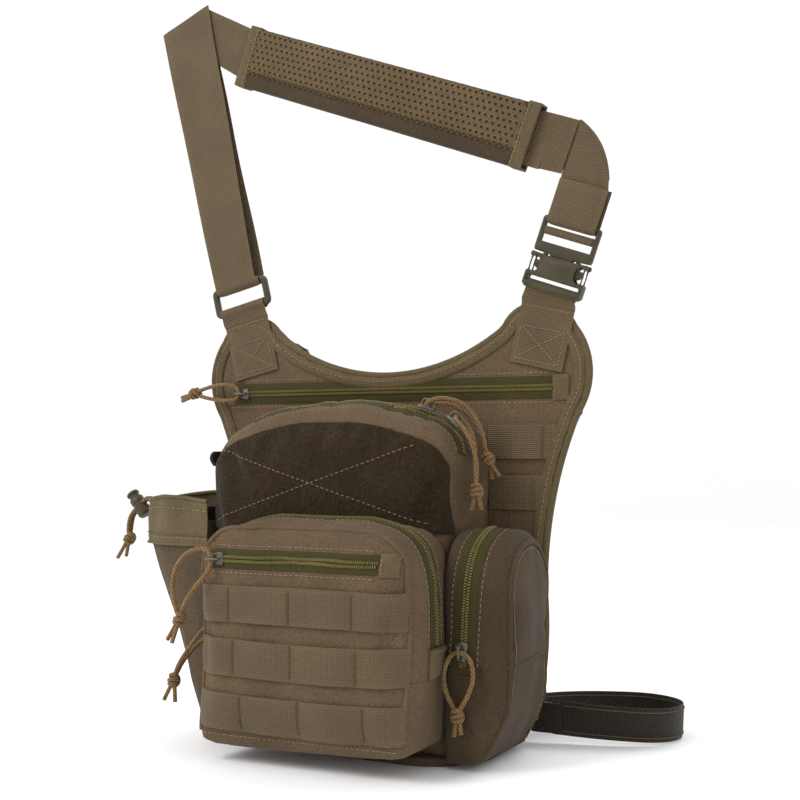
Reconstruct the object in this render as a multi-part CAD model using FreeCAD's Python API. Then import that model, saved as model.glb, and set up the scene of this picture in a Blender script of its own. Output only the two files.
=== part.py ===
import FreeCAD
import Part
import math
import os

# Sling bag. +X is the wearer-facing view's right, the front faces -Y, +Z is up.
# The origin is on the underside of the base, midway between the panel's sides.

V = FreeCAD.Vector

# ---- driving dimensions, millimetres ----
FABRIC = 2.0            # laminated fabric wall of every pocket
WEBBING = 1.6           # webbing thickness
STRAP_WIDTH = 40.0      # shoulder webbing
ROW_HEIGHT = 25.0       # load-carrying webbing rows and waist strap

PANEL_FRONT = 45.0
PANEL_BACK = 77.0
PANEL_HALF = 112.0      # half width at the base
BASE_TOP = 3.0
BASE_FRONT = -50.0
BINDING_WIDTH = 9.0
BACK_PAD_DEPTH = 7.0
BACK_PAD_BOTTOM = 27.0  # clear of the waist strap's free end

POUCH_LEFT = -117.0
POUCH_RIGHT = 82.0
POUCH_FRONT = -20.0
ARCH_X = -13.0          # centre of the big arc over the main pouch
ARCH_Z = 33.0
ARCH_RADIUS = 215.0
ARCH_END = 20.4         # degrees from the top where the right corner starts
ARCH_START = -21.6

POCKET_HALF = 80.0
POCKET_FRONT = -82.0
POCKET_BOTTOM = 12.0
POCKET_TOP = 162.0
POCKET_CORNER = 29.0

SIDE_RIGHT = 128.0
SIDE_FRONT = -31.0
SIDE_SPRING = 120.0     # height where the side pocket's round top begins

BOTTLE_Y = -1.0         # middle of the bottle pouch
BOTTLE_SEAM = 146.0
BOTTLE_RIM = 174.0

TAPE = 1.0              # zip tape thickness
COIL = 1.2              # coil height above the tape
TAPE_WIDTH = 16.0
COIL_WIDTH = 4.0
SLIDER_GAP = 0.3
MAIN_ZIP_Z = 256.0
FRONT_ZIP_Z = 139.0
ARCH_ZIP_Y = 5.0
GUSSET_ZIP_Y = -46.0
SIDE_ZIP_X = 97.0
PARKED_MAIN = -126.0    # where each slider stands when its zip is closed
PARKED_FRONT = -62.0
PARKED_GUSSET = 92.0
PARKED_SIDE = 80.0
PARKED_ARCH_A = 17.5
PARKED_ARCH_B = 40.0

ANCHOR_X = {-1: -117.0, 1: 122.0}   # left and right anchor centres
ANCHOR_Z = 286.0
ANCHOR_TILT = 13.0
BAR_RISE = 38.0         # anchor centre to the first bar above it
STRAP_Y = 43.2          # mid plane of ring, buckle and strap
BUCKLE_TILT = 19.3

CORD = 3.0              # cord diameter
KNOT = 4.5              # knot radius

PARTS = {}


# ---- geometry helpers ----
def box(x0, x1, y0, y1, z0, z1):
    return Part.makeBox(x1 - x0, y1 - y0, z1 - z0, V(x0, y0, z0))


def rod(start, end, radius):
    start, end = V(*start), V(*end)
    return Part.makeCylinder(radius, start.distanceToPoint(end), start, end - start)


def polar(cx, cz, radius, degrees):
    """Point at an angle measured clockwise from straight up."""
    a = math.radians(degrees)
    return (cx + radius * math.sin(a), cz + radius * math.cos(a))


def edges(points, lift):
    """Edges through points: (a, b) is a line's end, (am, bm, a, b) an arc's middle and end."""
    made = []
    here = points[0]
    for step in points[1:]:
        end = step[-2:]
        if len(step) == 4:
            arc = Part.Arc(V(*lift(*here)), V(*lift(*step[:2])), V(*lift(*end)))
            made.append(arc.toShape())
        else:
            made.append(Part.LineSegment(V(*lift(*here)), V(*lift(*end))).toShape())
        here = end
    if V(*lift(*here)).distanceToPoint(V(*lift(*points[0]))) > 1e-6:
        made.append(Part.LineSegment(V(*lift(*here)), V(*lift(*points[0]))).toShape())
    return Part.Wire(made)


def slab_y(points, y0, y1):
    """Outline in X and Z, as thick as y0 to y1."""
    wire = edges(points, lambda a, b: (a, y0, b))
    return Part.Face(wire).extrude(V(0, y1 - y0, 0))


def slab_x(points, x0, x1):
    """Outline in Y and Z, as thick as x0 to x1."""
    wire = edges(points, lambda a, b: (x0, a, b))
    return Part.Face(wire).extrude(V(x1 - x0, 0, 0))


def slab_z(points, z0, z1):
    """Outline in X and Y, as thick as z0 to z1."""
    wire = edges(points, lambda a, b: (a, b, z0))
    return Part.Face(wire).extrude(V(0, 0, z1 - z0))


def inset_slab(points, y0, y1, inset):
    wire = edges(points, lambda a, b: (a, y0, b))
    return Part.Face(wire.makeOffset2D(-inset)).extrude(V(0, y1 - y0, 0))


def hollow(points, y0, y1):
    """Closed fabric shell of the outline's shape."""
    return slab_y(points, y0, y1).cut(inset_slab(points, y0 + FABRIC, y1 - FABRIC, FABRIC))


def tilted(shape, x, z, degrees):
    """Shape drawn upright about the origin, leaned clockwise and moved to (x, z)."""
    shape.rotate(V(0, 0, 0), V(0, 1, 0), degrees)
    shape.translate(V(x, 0, z))
    return shape


def fuse(shapes):
    joined = shapes[0].fuse(shapes[1:]) if len(shapes) > 1 else shapes[0]
    return joined.removeSplitter()


def keep(name, *solids):
    PARTS[name] = solids[0] if len(solids) == 1 else Part.makeCompound(list(solids))


# ---- bag shell ----
def panel_outline():
    right = [
        (PANEL_HALF, BASE_TOP),
        (122, 40, 126, 110),
        (132, 180, 150, 238),
        (158.5, 268, 147, 299),
        (134, 313, 116, 316),
        (101, 311, 92, 300),
    ]
    left = []
    for i in range(len(right) - 1, 0, -1):
        x_mid, z_mid = right[i][:2]
        x_end, z_end = right[i - 1][-2:]
        left.append((-x_mid, z_mid, -x_end, z_end))
    dip = (0, 269.5, -92, 300)
    return right + [dip] + left


def make_panel():
    outline = panel_outline()
    keep("main_compartment", hollow(outline, PANEL_FRONT, PANEL_BACK))
    ring = slab_y(outline, PANEL_FRONT - TAPE, PANEL_FRONT)
    middle = inset_slab(outline, PANEL_FRONT - TAPE, PANEL_FRONT, BINDING_WIDTH)
    above_pockets = box(-200, 0, 0, 100, 174.5, 400).fuse(box(0, 200, 0, 100, 168, 400))
    keep("edge_binding", ring.cut(middle).common(above_pockets))
    foam_back = PANEL_BACK - FABRIC
    keep("back_foam_board", inset_slab(outline, foam_back - 5, foam_back, 8))
    pad = inset_slab(outline, PANEL_BACK, PANEL_BACK + BACK_PAD_DEPTH, 18)
    keep("back_pad", pad.common(box(-200, 200, 0, 100, BACK_PAD_BOTTOM, 400)))


def make_base():
    r = 25.0
    half = PANEL_HALF
    corner = r * (1 - math.sqrt(0.5))
    outline = [
        (half, PANEL_BACK),
        (-half, PANEL_BACK),
        (-half, BASE_FRONT + r),
        (-half + corner, BASE_FRONT + corner, -half + r, BASE_FRONT),
        (half - r, BASE_FRONT),
        (half - corner, BASE_FRONT + corner, half, BASE_FRONT + r),
    ]
    keep("base_panel", slab_z(outline, 0, BASE_TOP))


# ---- main pouch ----
def corner_radius(side, angle):
    s = math.sin(math.radians(abs(angle)))
    return (abs(side - ARCH_X) - ARCH_RADIUS * s) / (1 - s)


def corner_centre(side, angle):
    r = corner_radius(side, angle)
    return polar(ARCH_X, ARCH_Z, ARCH_RADIUS - r, angle)


def make_main_pouch():
    right_r = corner_radius(POUCH_RIGHT, ARCH_END)
    left_r = corner_radius(POUCH_LEFT, ARCH_START)
    right_c = corner_centre(POUCH_RIGHT, ARCH_END)
    left_c = corner_centre(POUCH_LEFT, ARCH_START)
    left_side = (POUCH_LEFT, left_c[1])
    left_mid = polar(*left_c, left_r, (ARCH_START - 90) / 2)
    left_end = polar(ARCH_X, ARCH_Z, ARCH_RADIUS, ARCH_START)
    top_mid = polar(ARCH_X, ARCH_Z, ARCH_RADIUS, 0)
    top_end = polar(ARCH_X, ARCH_Z, ARCH_RADIUS, ARCH_END)
    right_mid = polar(*right_c, right_r, (ARCH_END + 90) / 2)
    right_side = (POUCH_RIGHT, right_c[1])
    outline = [
        (POUCH_LEFT, BASE_TOP),
        left_side,
        left_mid + left_end,
        top_mid + top_end,
        right_mid + right_side,
        (POUCH_RIGHT, BASE_TOP),
    ]
    keep("main_pouch", hollow(outline, POUCH_FRONT, PANEL_FRONT))
    face = inset_slab(outline, POUCH_FRONT - WEBBING, POUCH_FRONT, 14)
    keep("loop_panel", face.common(box(-150, 150, -40, 0, POCKET_TOP + 6, 300)))


def arch_band(t0, t1, y0, y1, last):
    """Strip over the pouch's arch, from t0 to t1 outside its fabric."""
    right_r = corner_radius(POUCH_RIGHT, ARCH_END)
    right_c = corner_centre(POUCH_RIGHT, ARCH_END)
    first = ARCH_START + 1.5
    half = (first + ARCH_END) / 2
    turn = (ARCH_END + last) / 2
    big = ARCH_RADIUS
    outline = [
        polar(ARCH_X, ARCH_Z, big + t1, first),
        polar(ARCH_X, ARCH_Z, big + t1, half) + polar(ARCH_X, ARCH_Z, big + t1, ARCH_END),
        polar(*right_c, right_r + t1, turn) + polar(*right_c, right_r + t1, last),
        polar(*right_c, right_r + t0, last),
        polar(*right_c, right_r + t0, turn) + polar(ARCH_X, ARCH_Z, big + t0, ARCH_END),
        polar(ARCH_X, ARCH_Z, big + t0, half) + polar(ARCH_X, ARCH_Z, big + t0, first),
    ]
    return slab_y(outline, y0, y1)


def make_arch_zip():
    y = ARCH_ZIP_Y
    tape = arch_band(0, TAPE, y - TAPE_WIDTH / 2, y + TAPE_WIDTH / 2, 84)
    coil = arch_band(TAPE, TAPE + COIL, y - COIL_WIDTH / 2, y + COIL_WIDTH / 2, 80)
    keep("arch_zip", tape, coil)


# ---- front pocket ----
def pocket_outline(grow, bottom):
    """Front pocket's outline, grown outward, with an open lower end at the given height."""
    half = POCKET_HALF + grow
    top = POCKET_TOP + grow
    r = POCKET_CORNER + grow
    shift = r * (1 - math.sqrt(0.5))
    return [
        (-half, bottom),
        (-half, top - r),
        (-half + shift, top - shift, -half + r, top),
        (half - r, top),
        (half - shift, top - shift, half, top - r),
        (half, bottom),
    ]


def make_front_pocket():
    outline = pocket_outline(0, POCKET_BOTTOM)
    keep("front_pocket", hollow(outline, POCKET_FRONT, POUCH_FRONT))
    rows = []
    for bottom in (25.2, 61.6, 96.6):
        lower = box(-POCKET_HALF + 3, POCKET_HALF - 3, POCKET_FRONT - WEBBING, POCKET_FRONT,
                    bottom, bottom + ROW_HEIGHT)
        rows.append(lower)
    keep("front_webbing_rows", *rows)


def make_gusset_zip():
    y = GUSSET_ZIP_Y
    half = TAPE_WIDTH / 2

    def band(t0, t1, bottom, y0, y1):
        outer = slab_y(pocket_outline(t1, bottom), y0, y1)
        return outer.cut(slab_y(pocket_outline(t0, bottom - 1), y0 - 1, y1 + 1))

    tape = band(0, TAPE, 84, y - half, y + half)
    coil = band(TAPE, TAPE + COIL, 85, y - COIL_WIDTH / 2, y + COIL_WIDTH / 2)
    keep("gusset_zip", tape, coil)
    tab = box(POCKET_HALF, POCKET_HALF + 2.4, y - 11, y + 15, 64, 83.5)
    keep("gusset_zip_garage", tab)


# ---- straight zips ----
def make_main_zip():
    z = MAIN_ZIP_Z
    y = PANEL_FRONT
    tape = box(-137, 124, y - TAPE, y, z - TAPE_WIDTH / 2, z + TAPE_WIDTH / 2)
    coil = box(-134, 124, y - TAPE - COIL, y - TAPE, z - COIL_WIDTH / 2, z + COIL_WIDTH / 2)
    binding = PARTS["edge_binding"]
    keep("main_zip", tape.cut(binding), coil)
    end = box(124, 138, y - TAPE, y, z - TAPE_WIDTH / 2, z + TAPE_WIDTH / 2)
    front_y = POCKET_FRONT
    fz = FRONT_ZIP_Z
    front_end = box(62, 74, front_y - TAPE, front_y, fz - 6.5, fz + 6.5)
    keep("zip_end_tabs", end, front_end)


def make_front_zip():
    z = FRONT_ZIP_Z
    y = POCKET_FRONT
    tape = box(-70, 62, y - TAPE, y, z - 6.5, z + 6.5)
    coil = box(-68, 62, y - TAPE - COIL, y - TAPE, z - COIL_WIDTH / 2, z + COIL_WIDTH / 2)
    keep("front_zip", tape, coil)


# ---- side pocket ----
SIDE_MID = (SIDE_FRONT + PANEL_FRONT) / 2
SIDE_RADIUS = (PANEL_FRONT - SIDE_FRONT) / 2


def make_side_pocket():
    def arch(grow):
        r = SIDE_RADIUS - grow
        return [
            (SIDE_MID - r, BASE_TOP + 1 + grow),
            (SIDE_MID - r, SIDE_SPRING),
            (SIDE_MID, SIDE_SPRING + r, SIDE_MID + r, SIDE_SPRING),
            (SIDE_MID + r, BASE_TOP + 1 + grow),
        ]

    def wedge(grow):
        far = SIDE_RIGHT - grow
        return slab_y([(POUCH_RIGHT + grow, 0), (102 - grow, 0), (far, 72), (far, 200),
                       (POUCH_RIGHT + grow, 200)], -80, 80)

    outer = slab_x(arch(0), POUCH_RIGHT, SIDE_RIGHT).common(wedge(0))
    inner = slab_x(arch(FABRIC), POUCH_RIGHT, SIDE_RIGHT).common(wedge(FABRIC))
    keep("side_pocket", outer.cut(inner))


def make_side_zip():
    def band(t0, t1, x0, x1, bottom):
        def path(t):
            r = SIDE_RADIUS + t
            s = r * math.sqrt(0.5)
            return r, (SIDE_MID - s, SIDE_SPRING + s)
        r1, mid1 = path(t1)
        r0, mid0 = path(t0)
        outline = [
            (SIDE_MID - r1, bottom),
            (SIDE_MID - r1, SIDE_SPRING),
            mid1 + (SIDE_MID, SIDE_SPRING + r1),
            (SIDE_MID, SIDE_SPRING + r0),
            mid0 + (SIDE_MID - r0, SIDE_SPRING),
            (SIDE_MID - r0, bottom),
        ]
        return slab_x(outline, x0, x1)

    x = SIDE_ZIP_X
    tape = band(0, TAPE, x - TAPE_WIDTH / 2, x + TAPE_WIDTH / 2, 70)
    coil = band(TAPE, TAPE + COIL, x - COIL_WIDTH / 2, x + COIL_WIDTH / 2, 72)
    keep("side_zip", tape, coil)


def make_panel_rows():
    rows = [
        box(POUCH_RIGHT, 131, PANEL_FRONT - WEBBING, PANEL_FRONT, 205.8, 205.8 + ROW_HEIGHT),
        box(POUCH_RIGHT, 122, PANEL_FRONT - WEBBING, PANEL_FRONT, 169.8, 169.8 + ROW_HEIGHT),
    ]
    keep("panel_webbing_rows", *[row.cut(PARTS["edge_binding"]) for row in rows])


# ---- bottle pouch ----
def bottle_reach(z):
    """How far the pouch stands off the bag, and its half width, at a height."""
    k = (z - BASE_TOP) / (BOTTLE_SEAM - BASE_TOP)
    k = min(k, 1.0)
    return 16 + 48 * k, 30 + 12 * k


def bottle_ring(z, inset):
    out, half = bottle_reach(z)
    x = POUCH_LEFT
    points = [
        (x, BOTTLE_Y - half + inset),
        (x - out + inset, BOTTLE_Y, x, BOTTLE_Y + half - inset),
    ]
    return edges(points, lambda a, b: (a, b, z))


def bottle_shell(z0, z1, wall, floor):
    outer = Part.makeLoft([bottle_ring(z0, 0), bottle_ring(z1, 0)], True, True)
    low = z0 + floor
    inner = Part.makeLoft([bottle_ring(low, wall), bottle_ring(z1, wall)], True, True)
    return outer.cut(inner)


def make_bottle_pouch():
    keep("bottle_pouch", bottle_shell(BASE_TOP, BOTTLE_SEAM, FABRIC, FABRIC))
    keep("bottle_collar", bottle_shell(BOTTLE_SEAM, BOTTLE_RIM, TAPE, 0))


# ---- zip sliders ----
def slider():
    """Slider on a zip along X that faces +Z, with a bridge that the pull cord passes under."""
    plate = box(-6, 6, -4.5, 4.5, 0, 2.4)
    legs = box(-5, -3.9, -1.2, 1.2, 2.4, 6.4).fuse(box(3.9, 5, -1.2, 1.2, 2.4, 6.4))
    bridge = box(-5, 5, -1.2, 1.2, 6.4, 7.6)
    plate = plate.makeChamfer(0.7, [e for e in plate.Edges if e.BoundBox.ZMin > 2.3])
    return fuse([plate, legs, bridge])


def placed(shape, origin, along, outward):
    """Shape's +X turned to along and its +Z to outward, then moved to origin."""
    along, outward = V(*along), V(*outward)
    across = outward.cross(along)
    matrix = FreeCAD.Matrix(
        along.x, across.x, outward.x, origin[0],
        along.y, across.y, outward.y, origin[1],
        along.z, across.z, outward.z, origin[2],
        0, 0, 0, 1,
    )
    return shape.transformed(matrix)


def make_sliders():
    lift = TAPE + COIL + SLIDER_GAP
    keep("main_slider", placed(slider(), (PARKED_MAIN, PANEL_FRONT - lift, MAIN_ZIP_Z),
                               (1, 0, 0), (0, -1, 0)))
    keep("front_slider", placed(slider(), (PARKED_FRONT, POCKET_FRONT - lift, FRONT_ZIP_Z),
                                (1, 0, 0), (0, -1, 0)))
    keep("gusset_slider", placed(slider(), (-POCKET_HALF - lift, GUSSET_ZIP_Y, PARKED_GUSSET),
                                 (0, 0, 1), (-1, 0, 0)))
    keep("side_slider", placed(slider(), (SIDE_ZIP_X, SIDE_FRONT - lift, PARKED_SIDE),
                               (0, 0, 1), (0, -1, 0)))
    a = math.radians(PARKED_ARCH_A)
    x, z = polar(ARCH_X, ARCH_Z, ARCH_RADIUS + lift, PARKED_ARCH_A)
    keep("arch_slider_left", placed(slider(), (x, ARCH_ZIP_Y, z), (-math.cos(a), 0, math.sin(a)),
                                    (math.sin(a), 0, math.cos(a))))
    b = math.radians(PARKED_ARCH_B)
    centre = corner_centre(POUCH_RIGHT, ARCH_END)
    radius = corner_radius(POUCH_RIGHT, ARCH_END)
    x, z = polar(*centre, radius + lift, PARKED_ARCH_B)
    keep("arch_slider_right", placed(slider(), (x, ARCH_ZIP_Y, z), (math.cos(b), 0, -math.sin(b)),
                                     (math.sin(b), 0, math.cos(b))))


# ---- cords ----
def cord_path(points):
    """Straight runs joined by tangent arcs; returns the wire and its arc radii."""
    points = [V(*p) for p in points]
    made = []
    radii = []
    here = points[0]
    for i in range(1, len(points) - 1):
        back = points[i - 1] - points[i]
        ahead = points[i + 1] - points[i]
        reach = 0.45 * min(back.Length, ahead.Length)
        back.normalize()
        ahead.normalize()
        turn = math.pi - back.getAngle(ahead)
        radius = reach / math.tan(turn / 2)
        middle = back + ahead
        middle.normalize()
        depth = math.hypot(radius, reach) - radius
        start = points[i] + back * reach
        end = points[i] + ahead * reach
        made.append(Part.LineSegment(here, start).toShape())
        made.append(Part.Arc(start, points[i] + middle * depth, end).toShape())
        radii.append(round(radius, 1))
        here = end
    made.append(Part.LineSegment(here, points[-1]).toShape())
    return Part.Wire(made), radii


def cord_tube(name, points):
    path, radii = cord_path(points)
    direction = V(*points[1]) - V(*points[0])
    ring = Part.Wire([Part.Circle(V(*points[0]), direction, CORD / 2).toShape()])
    tube = path.makePipeShell([ring], True, False)
    expected = math.pi * CORD ** 2 / 4 * path.Length
    print(name, "length", round(path.Length, 1), "radii", radii,
          "volume ratio", round(tube.Volume / expected, 3))
    return tube


def knotted(tubes, knot_at, tail_ends):
    knot = Part.makeSphere(KNOT, V(*knot_at))
    tails = [rod(knot_at, end, CORD / 2).cut(knot) for end in tail_ends]
    first_gap = V(*tail_ends[0]).distanceToPoint(V(*tail_ends[1]))
    assert first_gap > CORD
    return [tube.cut(knot) for tube in tubes] + [knot] + tails


PULLS = {
    "main_pull": (
        [(-164, 35, 258.5), (-155, 34, 261), (-141, 34, 264), (-127, 37.7, 262),
         (-127, 37.7, 251), (-141, 35, 250.8), (-155, 35, 253), (-164, 35, 255.5)],
        (-167, 35, 257), [(-181, 37, 254), (-178, 33, 251)],
    ),
    "front_pull": (
        [(-89, -91.5, 101), (-92, -92, 110), (-92, -94, 124), (-86, -94, 138), (-75, -92, 146),
         (-63, -89.3, 145), (-63, -89.3, 133), (-69, -92, 125), (-77, -93, 116), (-83, -92, 108),
         (-86.5, -91, 101)],
        (-88, -91, 97), [(-98, -91, 82.5), (-92, -94, 81)],
    ),
    "gusset_pull": (
        [(-110.5, -64, 54), (-109, -59, 62), (-104, -51, 72), (-95, -42, 82), (-87.3, -40, 92),
         (-87.3, -52, 92), (-94, -58, 84), (-101, -62, 73), (-107, -66, 62), (-109.5, -67.5, 54)],
        (-111, -67, 50), [(-117, -70, 36), (-108, -69, 35)],
    ),
    "arch_pull_left": (
        [(92, 17, 210), (90, 18, 222), (84, 17, 236), (75, 13, 246), (63, 3, 249),
         (53.7, -1, 244.8), (53.7, 11, 244.8), (65, 17, 245), (76, 22, 238), (85, 24, 225),
         (91, 21, 211)],
        (93, 18, 206), [(101, 20, 194), (94, 24, 192)],
    ),
    "arch_pull_right": (
        [(91, 2, 189), (92.5, 1, 200), (91, -1, 214), (85, -3, 227), (75.3, -1, 234.7),
         (75.3, 11, 234.7), (84, 10, 226), (88.5, 7, 213), (89, 5, 200), (90.5, 4.5, 189)],
        (91, 3, 184.5), [(88, 2, 171), (95, 3, 171.5)],
    ),
    "side_pull": (
        [(94, -40.5, 44), (88, -41, 54), (85.8, -40, 67), (91, -37.9, 80), (103, -37.9, 80),
         (108.5, -40, 67), (105, -41, 54), (98.5, -40.5, 44)],
        (96, -40, 39), [(94, -40, 25.5), (98.5, -39, 27)],
    ),
}

LOCK_AT = (-195.0, 2.0, 169.0)
LOCK_AXIS = (0.66, 0.0, -0.751)      # from the button's end down through the barrel
CORD_THROUGH = (-0.751, 0.0, -0.66)  # the drawcord's way through the barrel
DRAWCORD_STRANDS = [
    [(-181.2, -1.2, 170.5), (-184.5, -0.2, 175.3), (-189.0, 0.3, 174.3), (-202.0, 0.3, 162.9),
     (-204.5, -0.4, 156.0), (-205.0, -0.6, 147.5)],
    [(-181.2, 3.2, 170.5), (-184.5, 3.5, 175.3), (-189.0, 3.7, 174.3), (-202.0, 3.7, 162.9),
     (-204.0, 3.2, 156.0), (-204.5, 2.4, 147.5)],
]
DRAWCORD_KNOT = (-205.0, 1.0, 143.0)
DRAWCORD_TAILS = [(-216.0, 0.0, 127.0), (-209.0, 2.0, 128.5)]


def make_cords():
    for name, (route, knot_at, tails) in PULLS.items():
        tube = cord_tube(name, route)
        keep(name, *knotted([tube], knot_at, tails))
    collar = PARTS["bottle_collar"]
    strands = [cord_tube("drawcord", route).cut(collar) for route in DRAWCORD_STRANDS]
    keep("drawcord", *knotted(strands, DRAWCORD_KNOT, DRAWCORD_TAILS))


LOCK_RADIUS = 5.6
LOCK_TOP = 6.5          # barrel's mouth above the cords, and its closed end below them
LOCK_BOTTOM = 9.5
BORE_RADIUS = 4.4
PRESS = 3.0             # how far the button goes in


def make_cord_lock():
    """Barrel across the drawcord with a sprung button in its upper end."""
    axis = V(*LOCK_AXIS)
    centre = V(*LOCK_AT)

    def turned(radius, low, high):
        return Part.makeCylinder(radius, high - low, centre + axis * low, axis)

    def slot(low, high):
        return placed(box(-9, 9, -3.45, 3.45, low, high), LOCK_AT, CORD_THROUGH, LOCK_AXIS)

    barrel = turned(LOCK_RADIUS, -LOCK_TOP, LOCK_BOTTOM).cut(turned(BORE_RADIUS, -7, 8.2))
    keep("cord_lock_barrel", barrel.cut(slot(-2.1, 2.1)))
    stem = turned(BORE_RADIUS - 0.2, -11, 4).cut(slot(-2.1 - PRESS, 2.1))
    keep("cord_lock_button", fuse([stem, turned(LOCK_RADIUS - 0.5, -12.6, -10)]))
    keep("cord_lock_spring", turned(3.4, 4.1, 8.1).cut(turned(2.6, 3, 9)))


# ---- shoulder strap ----
def anchor_frame(shape, side):
    """Shape drawn upright about an anchor's centre, leaned outward on the given side."""
    return tilted(shape, ANCHOR_X[side], ANCHOR_Z, side * ANCHOR_TILT)


def wrap(bar_z, w, half_y, half_z):
    """Webbing of half width w folded flat round a bar."""
    gap = 0.4
    t = WEBBING
    y = STRAP_Y
    outer = box(-w, w, y - half_y - gap - t, y + half_y + gap + t,
                bar_z - half_z - gap - t, bar_z + half_z + gap + t)
    inner = box(-w - 1, w + 1, y - half_y - gap, y + half_y + gap,
                bar_z - half_z - gap, bar_z + half_z + gap)
    return outer.cut(inner)


def make_anchors():
    w = STRAP_WIDTH / 2
    for side, name in ((-1, "strap_anchor_left"), (1, "strap_anchor_right")):
        patch = box(-w, w, PANEL_FRONT - TAPE - WEBBING, PANEL_FRONT, -16, 28)
        patch = anchor_frame(patch, side)
        keep(name, patch.cut(PARTS["edge_binding"]).cut(PARTS["main_compartment"]))


RING_HALF = 25.5
RING_RISE = 19.0


def make_ring():
    """Rectangular loop: two bars for webbing joined by two end bars."""
    outer = box(-RING_HALF, RING_HALF, STRAP_Y - 2.5, STRAP_Y + 2.5,
                BAR_RISE - 2.25, BAR_RISE + RING_RISE + 2.25)
    inner = box(-RING_HALF + 4.5, RING_HALF - 4.5, STRAP_Y - 3, STRAP_Y + 3,
                BAR_RISE + 2.25, BAR_RISE + RING_RISE - 2.25)
    corners = [e for e in outer.Edges if abs(e.BoundBox.YLength - 5.0) < 0.01]
    ring = outer.makeFillet(3.5, corners).cut(inner)
    keep("strap_ring", anchor_frame(ring, -1))
    keep("anchor_loop_left", anchor_frame(wrap(BAR_RISE, STRAP_WIDTH / 2, 2.5, 2.25), -1))


FRONT_LAYER = STRAP_Y - 2.5 - 0.4 - WEBBING     # front face of the strap's front layer
LEG_TOP = 270.0                                  # along the left leg, where it folds
FOLD_LEFT = (-198.5, 546.0)
FOLD_RIGHT = (-159.5, 564.0)
PAD_START = (-121.0, 520.0)
PAD_END = (118.0, 430.0)
PAD_WIDTH = 46.0
PAD_DEPTH = 12.0


def make_left_leg():
    w = STRAP_WIDTH / 2
    top_bar = BAR_RISE + RING_RISE
    loop = wrap(top_bar, w, 2.5, 2.25)
    y0 = FRONT_LAYER
    front = slab_y([(-w, top_bar + 2), (w, top_bar + 2), (w, LEG_TOP + 8), (-w, LEG_TOP)],
                   y0, y0 + WEBBING)
    back = box(-w, w, STRAP_Y + 2.9, STRAP_Y + 2.9 + WEBBING, top_bar + 2, 236)
    keep("strap_left_leg", anchor_frame(fuse([loop, front, back]), -1))
    frame = box(-RING_HALF, RING_HALF, STRAP_Y - 1.0, STRAP_Y + 2.2, 196, 226)
    slot = box(-w - 1, w + 1, STRAP_Y - 5, STRAP_Y + 5, 0, 8)
    low, high = slot.copy(), slot.copy()
    low.translate(V(0, 0, 200))
    high.translate(V(0, 0, 213))
    keep("slide_adjuster", anchor_frame(frame.cut(low).cut(high), -1))


def along_pad(distance, across):
    """Point at a distance along the pad's middle line and a height above it."""
    dx = PAD_END[0] - PAD_START[0]
    dz = PAD_END[1] - PAD_START[1]
    length = math.hypot(dx, dz)
    ux, uz = dx / length, dz / length
    return (PAD_START[0] + ux * distance - uz * across, PAD_START[1] + uz * distance + ux * across)


PAD_LENGTH = math.hypot(PAD_END[0] - PAD_START[0], PAD_END[1] - PAD_START[1])


def make_top_run():
    """Webbing from the left fold, through the pad, to the right fold."""
    w = STRAP_WIDTH / 2
    y0 = FRONT_LAYER + WEBBING
    corner = anchor_frame(Part.Vertex(w, 0, LEG_TOP - 36), -1).Point
    left = slab_y([FOLD_LEFT, FOLD_RIGHT, along_pad(-6, w), along_pad(-6, -w),
                   (corner.x, corner.z)], y0, y0 + WEBBING)
    middle = slab_y([along_pad(-6, w), along_pad(PAD_LENGTH + 12.5, w),
                     along_pad(PAD_LENGTH + 12.5, -w), along_pad(-6, -w)], y0, y0 + WEBBING)
    keep("strap_top_run", fuse([left, middle]))


def make_pad():
    """Sleeve-shaped pad with a slot for the webbing; a mesh cover on its face, bound ends."""
    w = PAD_WIDTH / 2
    y_mid = FRONT_LAYER + 1.5 * WEBBING
    y0 = y_mid - PAD_DEPTH / 2
    slot = slab_y([along_pad(-2, 20.6), along_pad(PAD_LENGTH + 2, 20.6),
                   along_pad(PAD_LENGTH + 2, -20.6), along_pad(-2, -20.6)],
                  y_mid - 1.3, y_mid + 1.3)
    core = slab_y([along_pad(9, w), along_pad(PAD_LENGTH - 9, w),
                   along_pad(PAD_LENGTH - 9, -w), along_pad(9, -w)], y0, y0 + PAD_DEPTH)
    keep("shoulder_pad", core.cut(slot))
    mesh = slab_y([along_pad(9, w - 1), along_pad(PAD_LENGTH - 9, w - 1),
                   along_pad(PAD_LENGTH - 9, -w + 12), along_pad(9, -w + 12)], y0 - 1.5, y0)
    keep("pad_mesh_cover", mesh)
    ends = []
    for start in (0, PAD_LENGTH - 9):
        band = slab_y([along_pad(start, w), along_pad(start + 9, w),
                       along_pad(start + 9, -w), along_pad(start, -w)], y0, y0 + PAD_DEPTH)
        ends.append(band.cut(slot))
    keep("pad_end_bindings", *ends)


# ---- side-release buckle ----
BUCKLE_HALF = 22.0
BUCKLE_X = ANCHOR_X[1] + BAR_RISE * math.sin(math.radians(ANCHOR_TILT))
BUCKLE_Z = ANCHOR_Z + BAR_RISE * math.cos(math.radians(ANCHOR_TILT))


def on_buckle(shape):
    """Shape drawn upright about the buckle's lower bar, put in place."""
    return tilted(shape, BUCKLE_X, BUCKLE_Z, BUCKLE_TILT)


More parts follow.
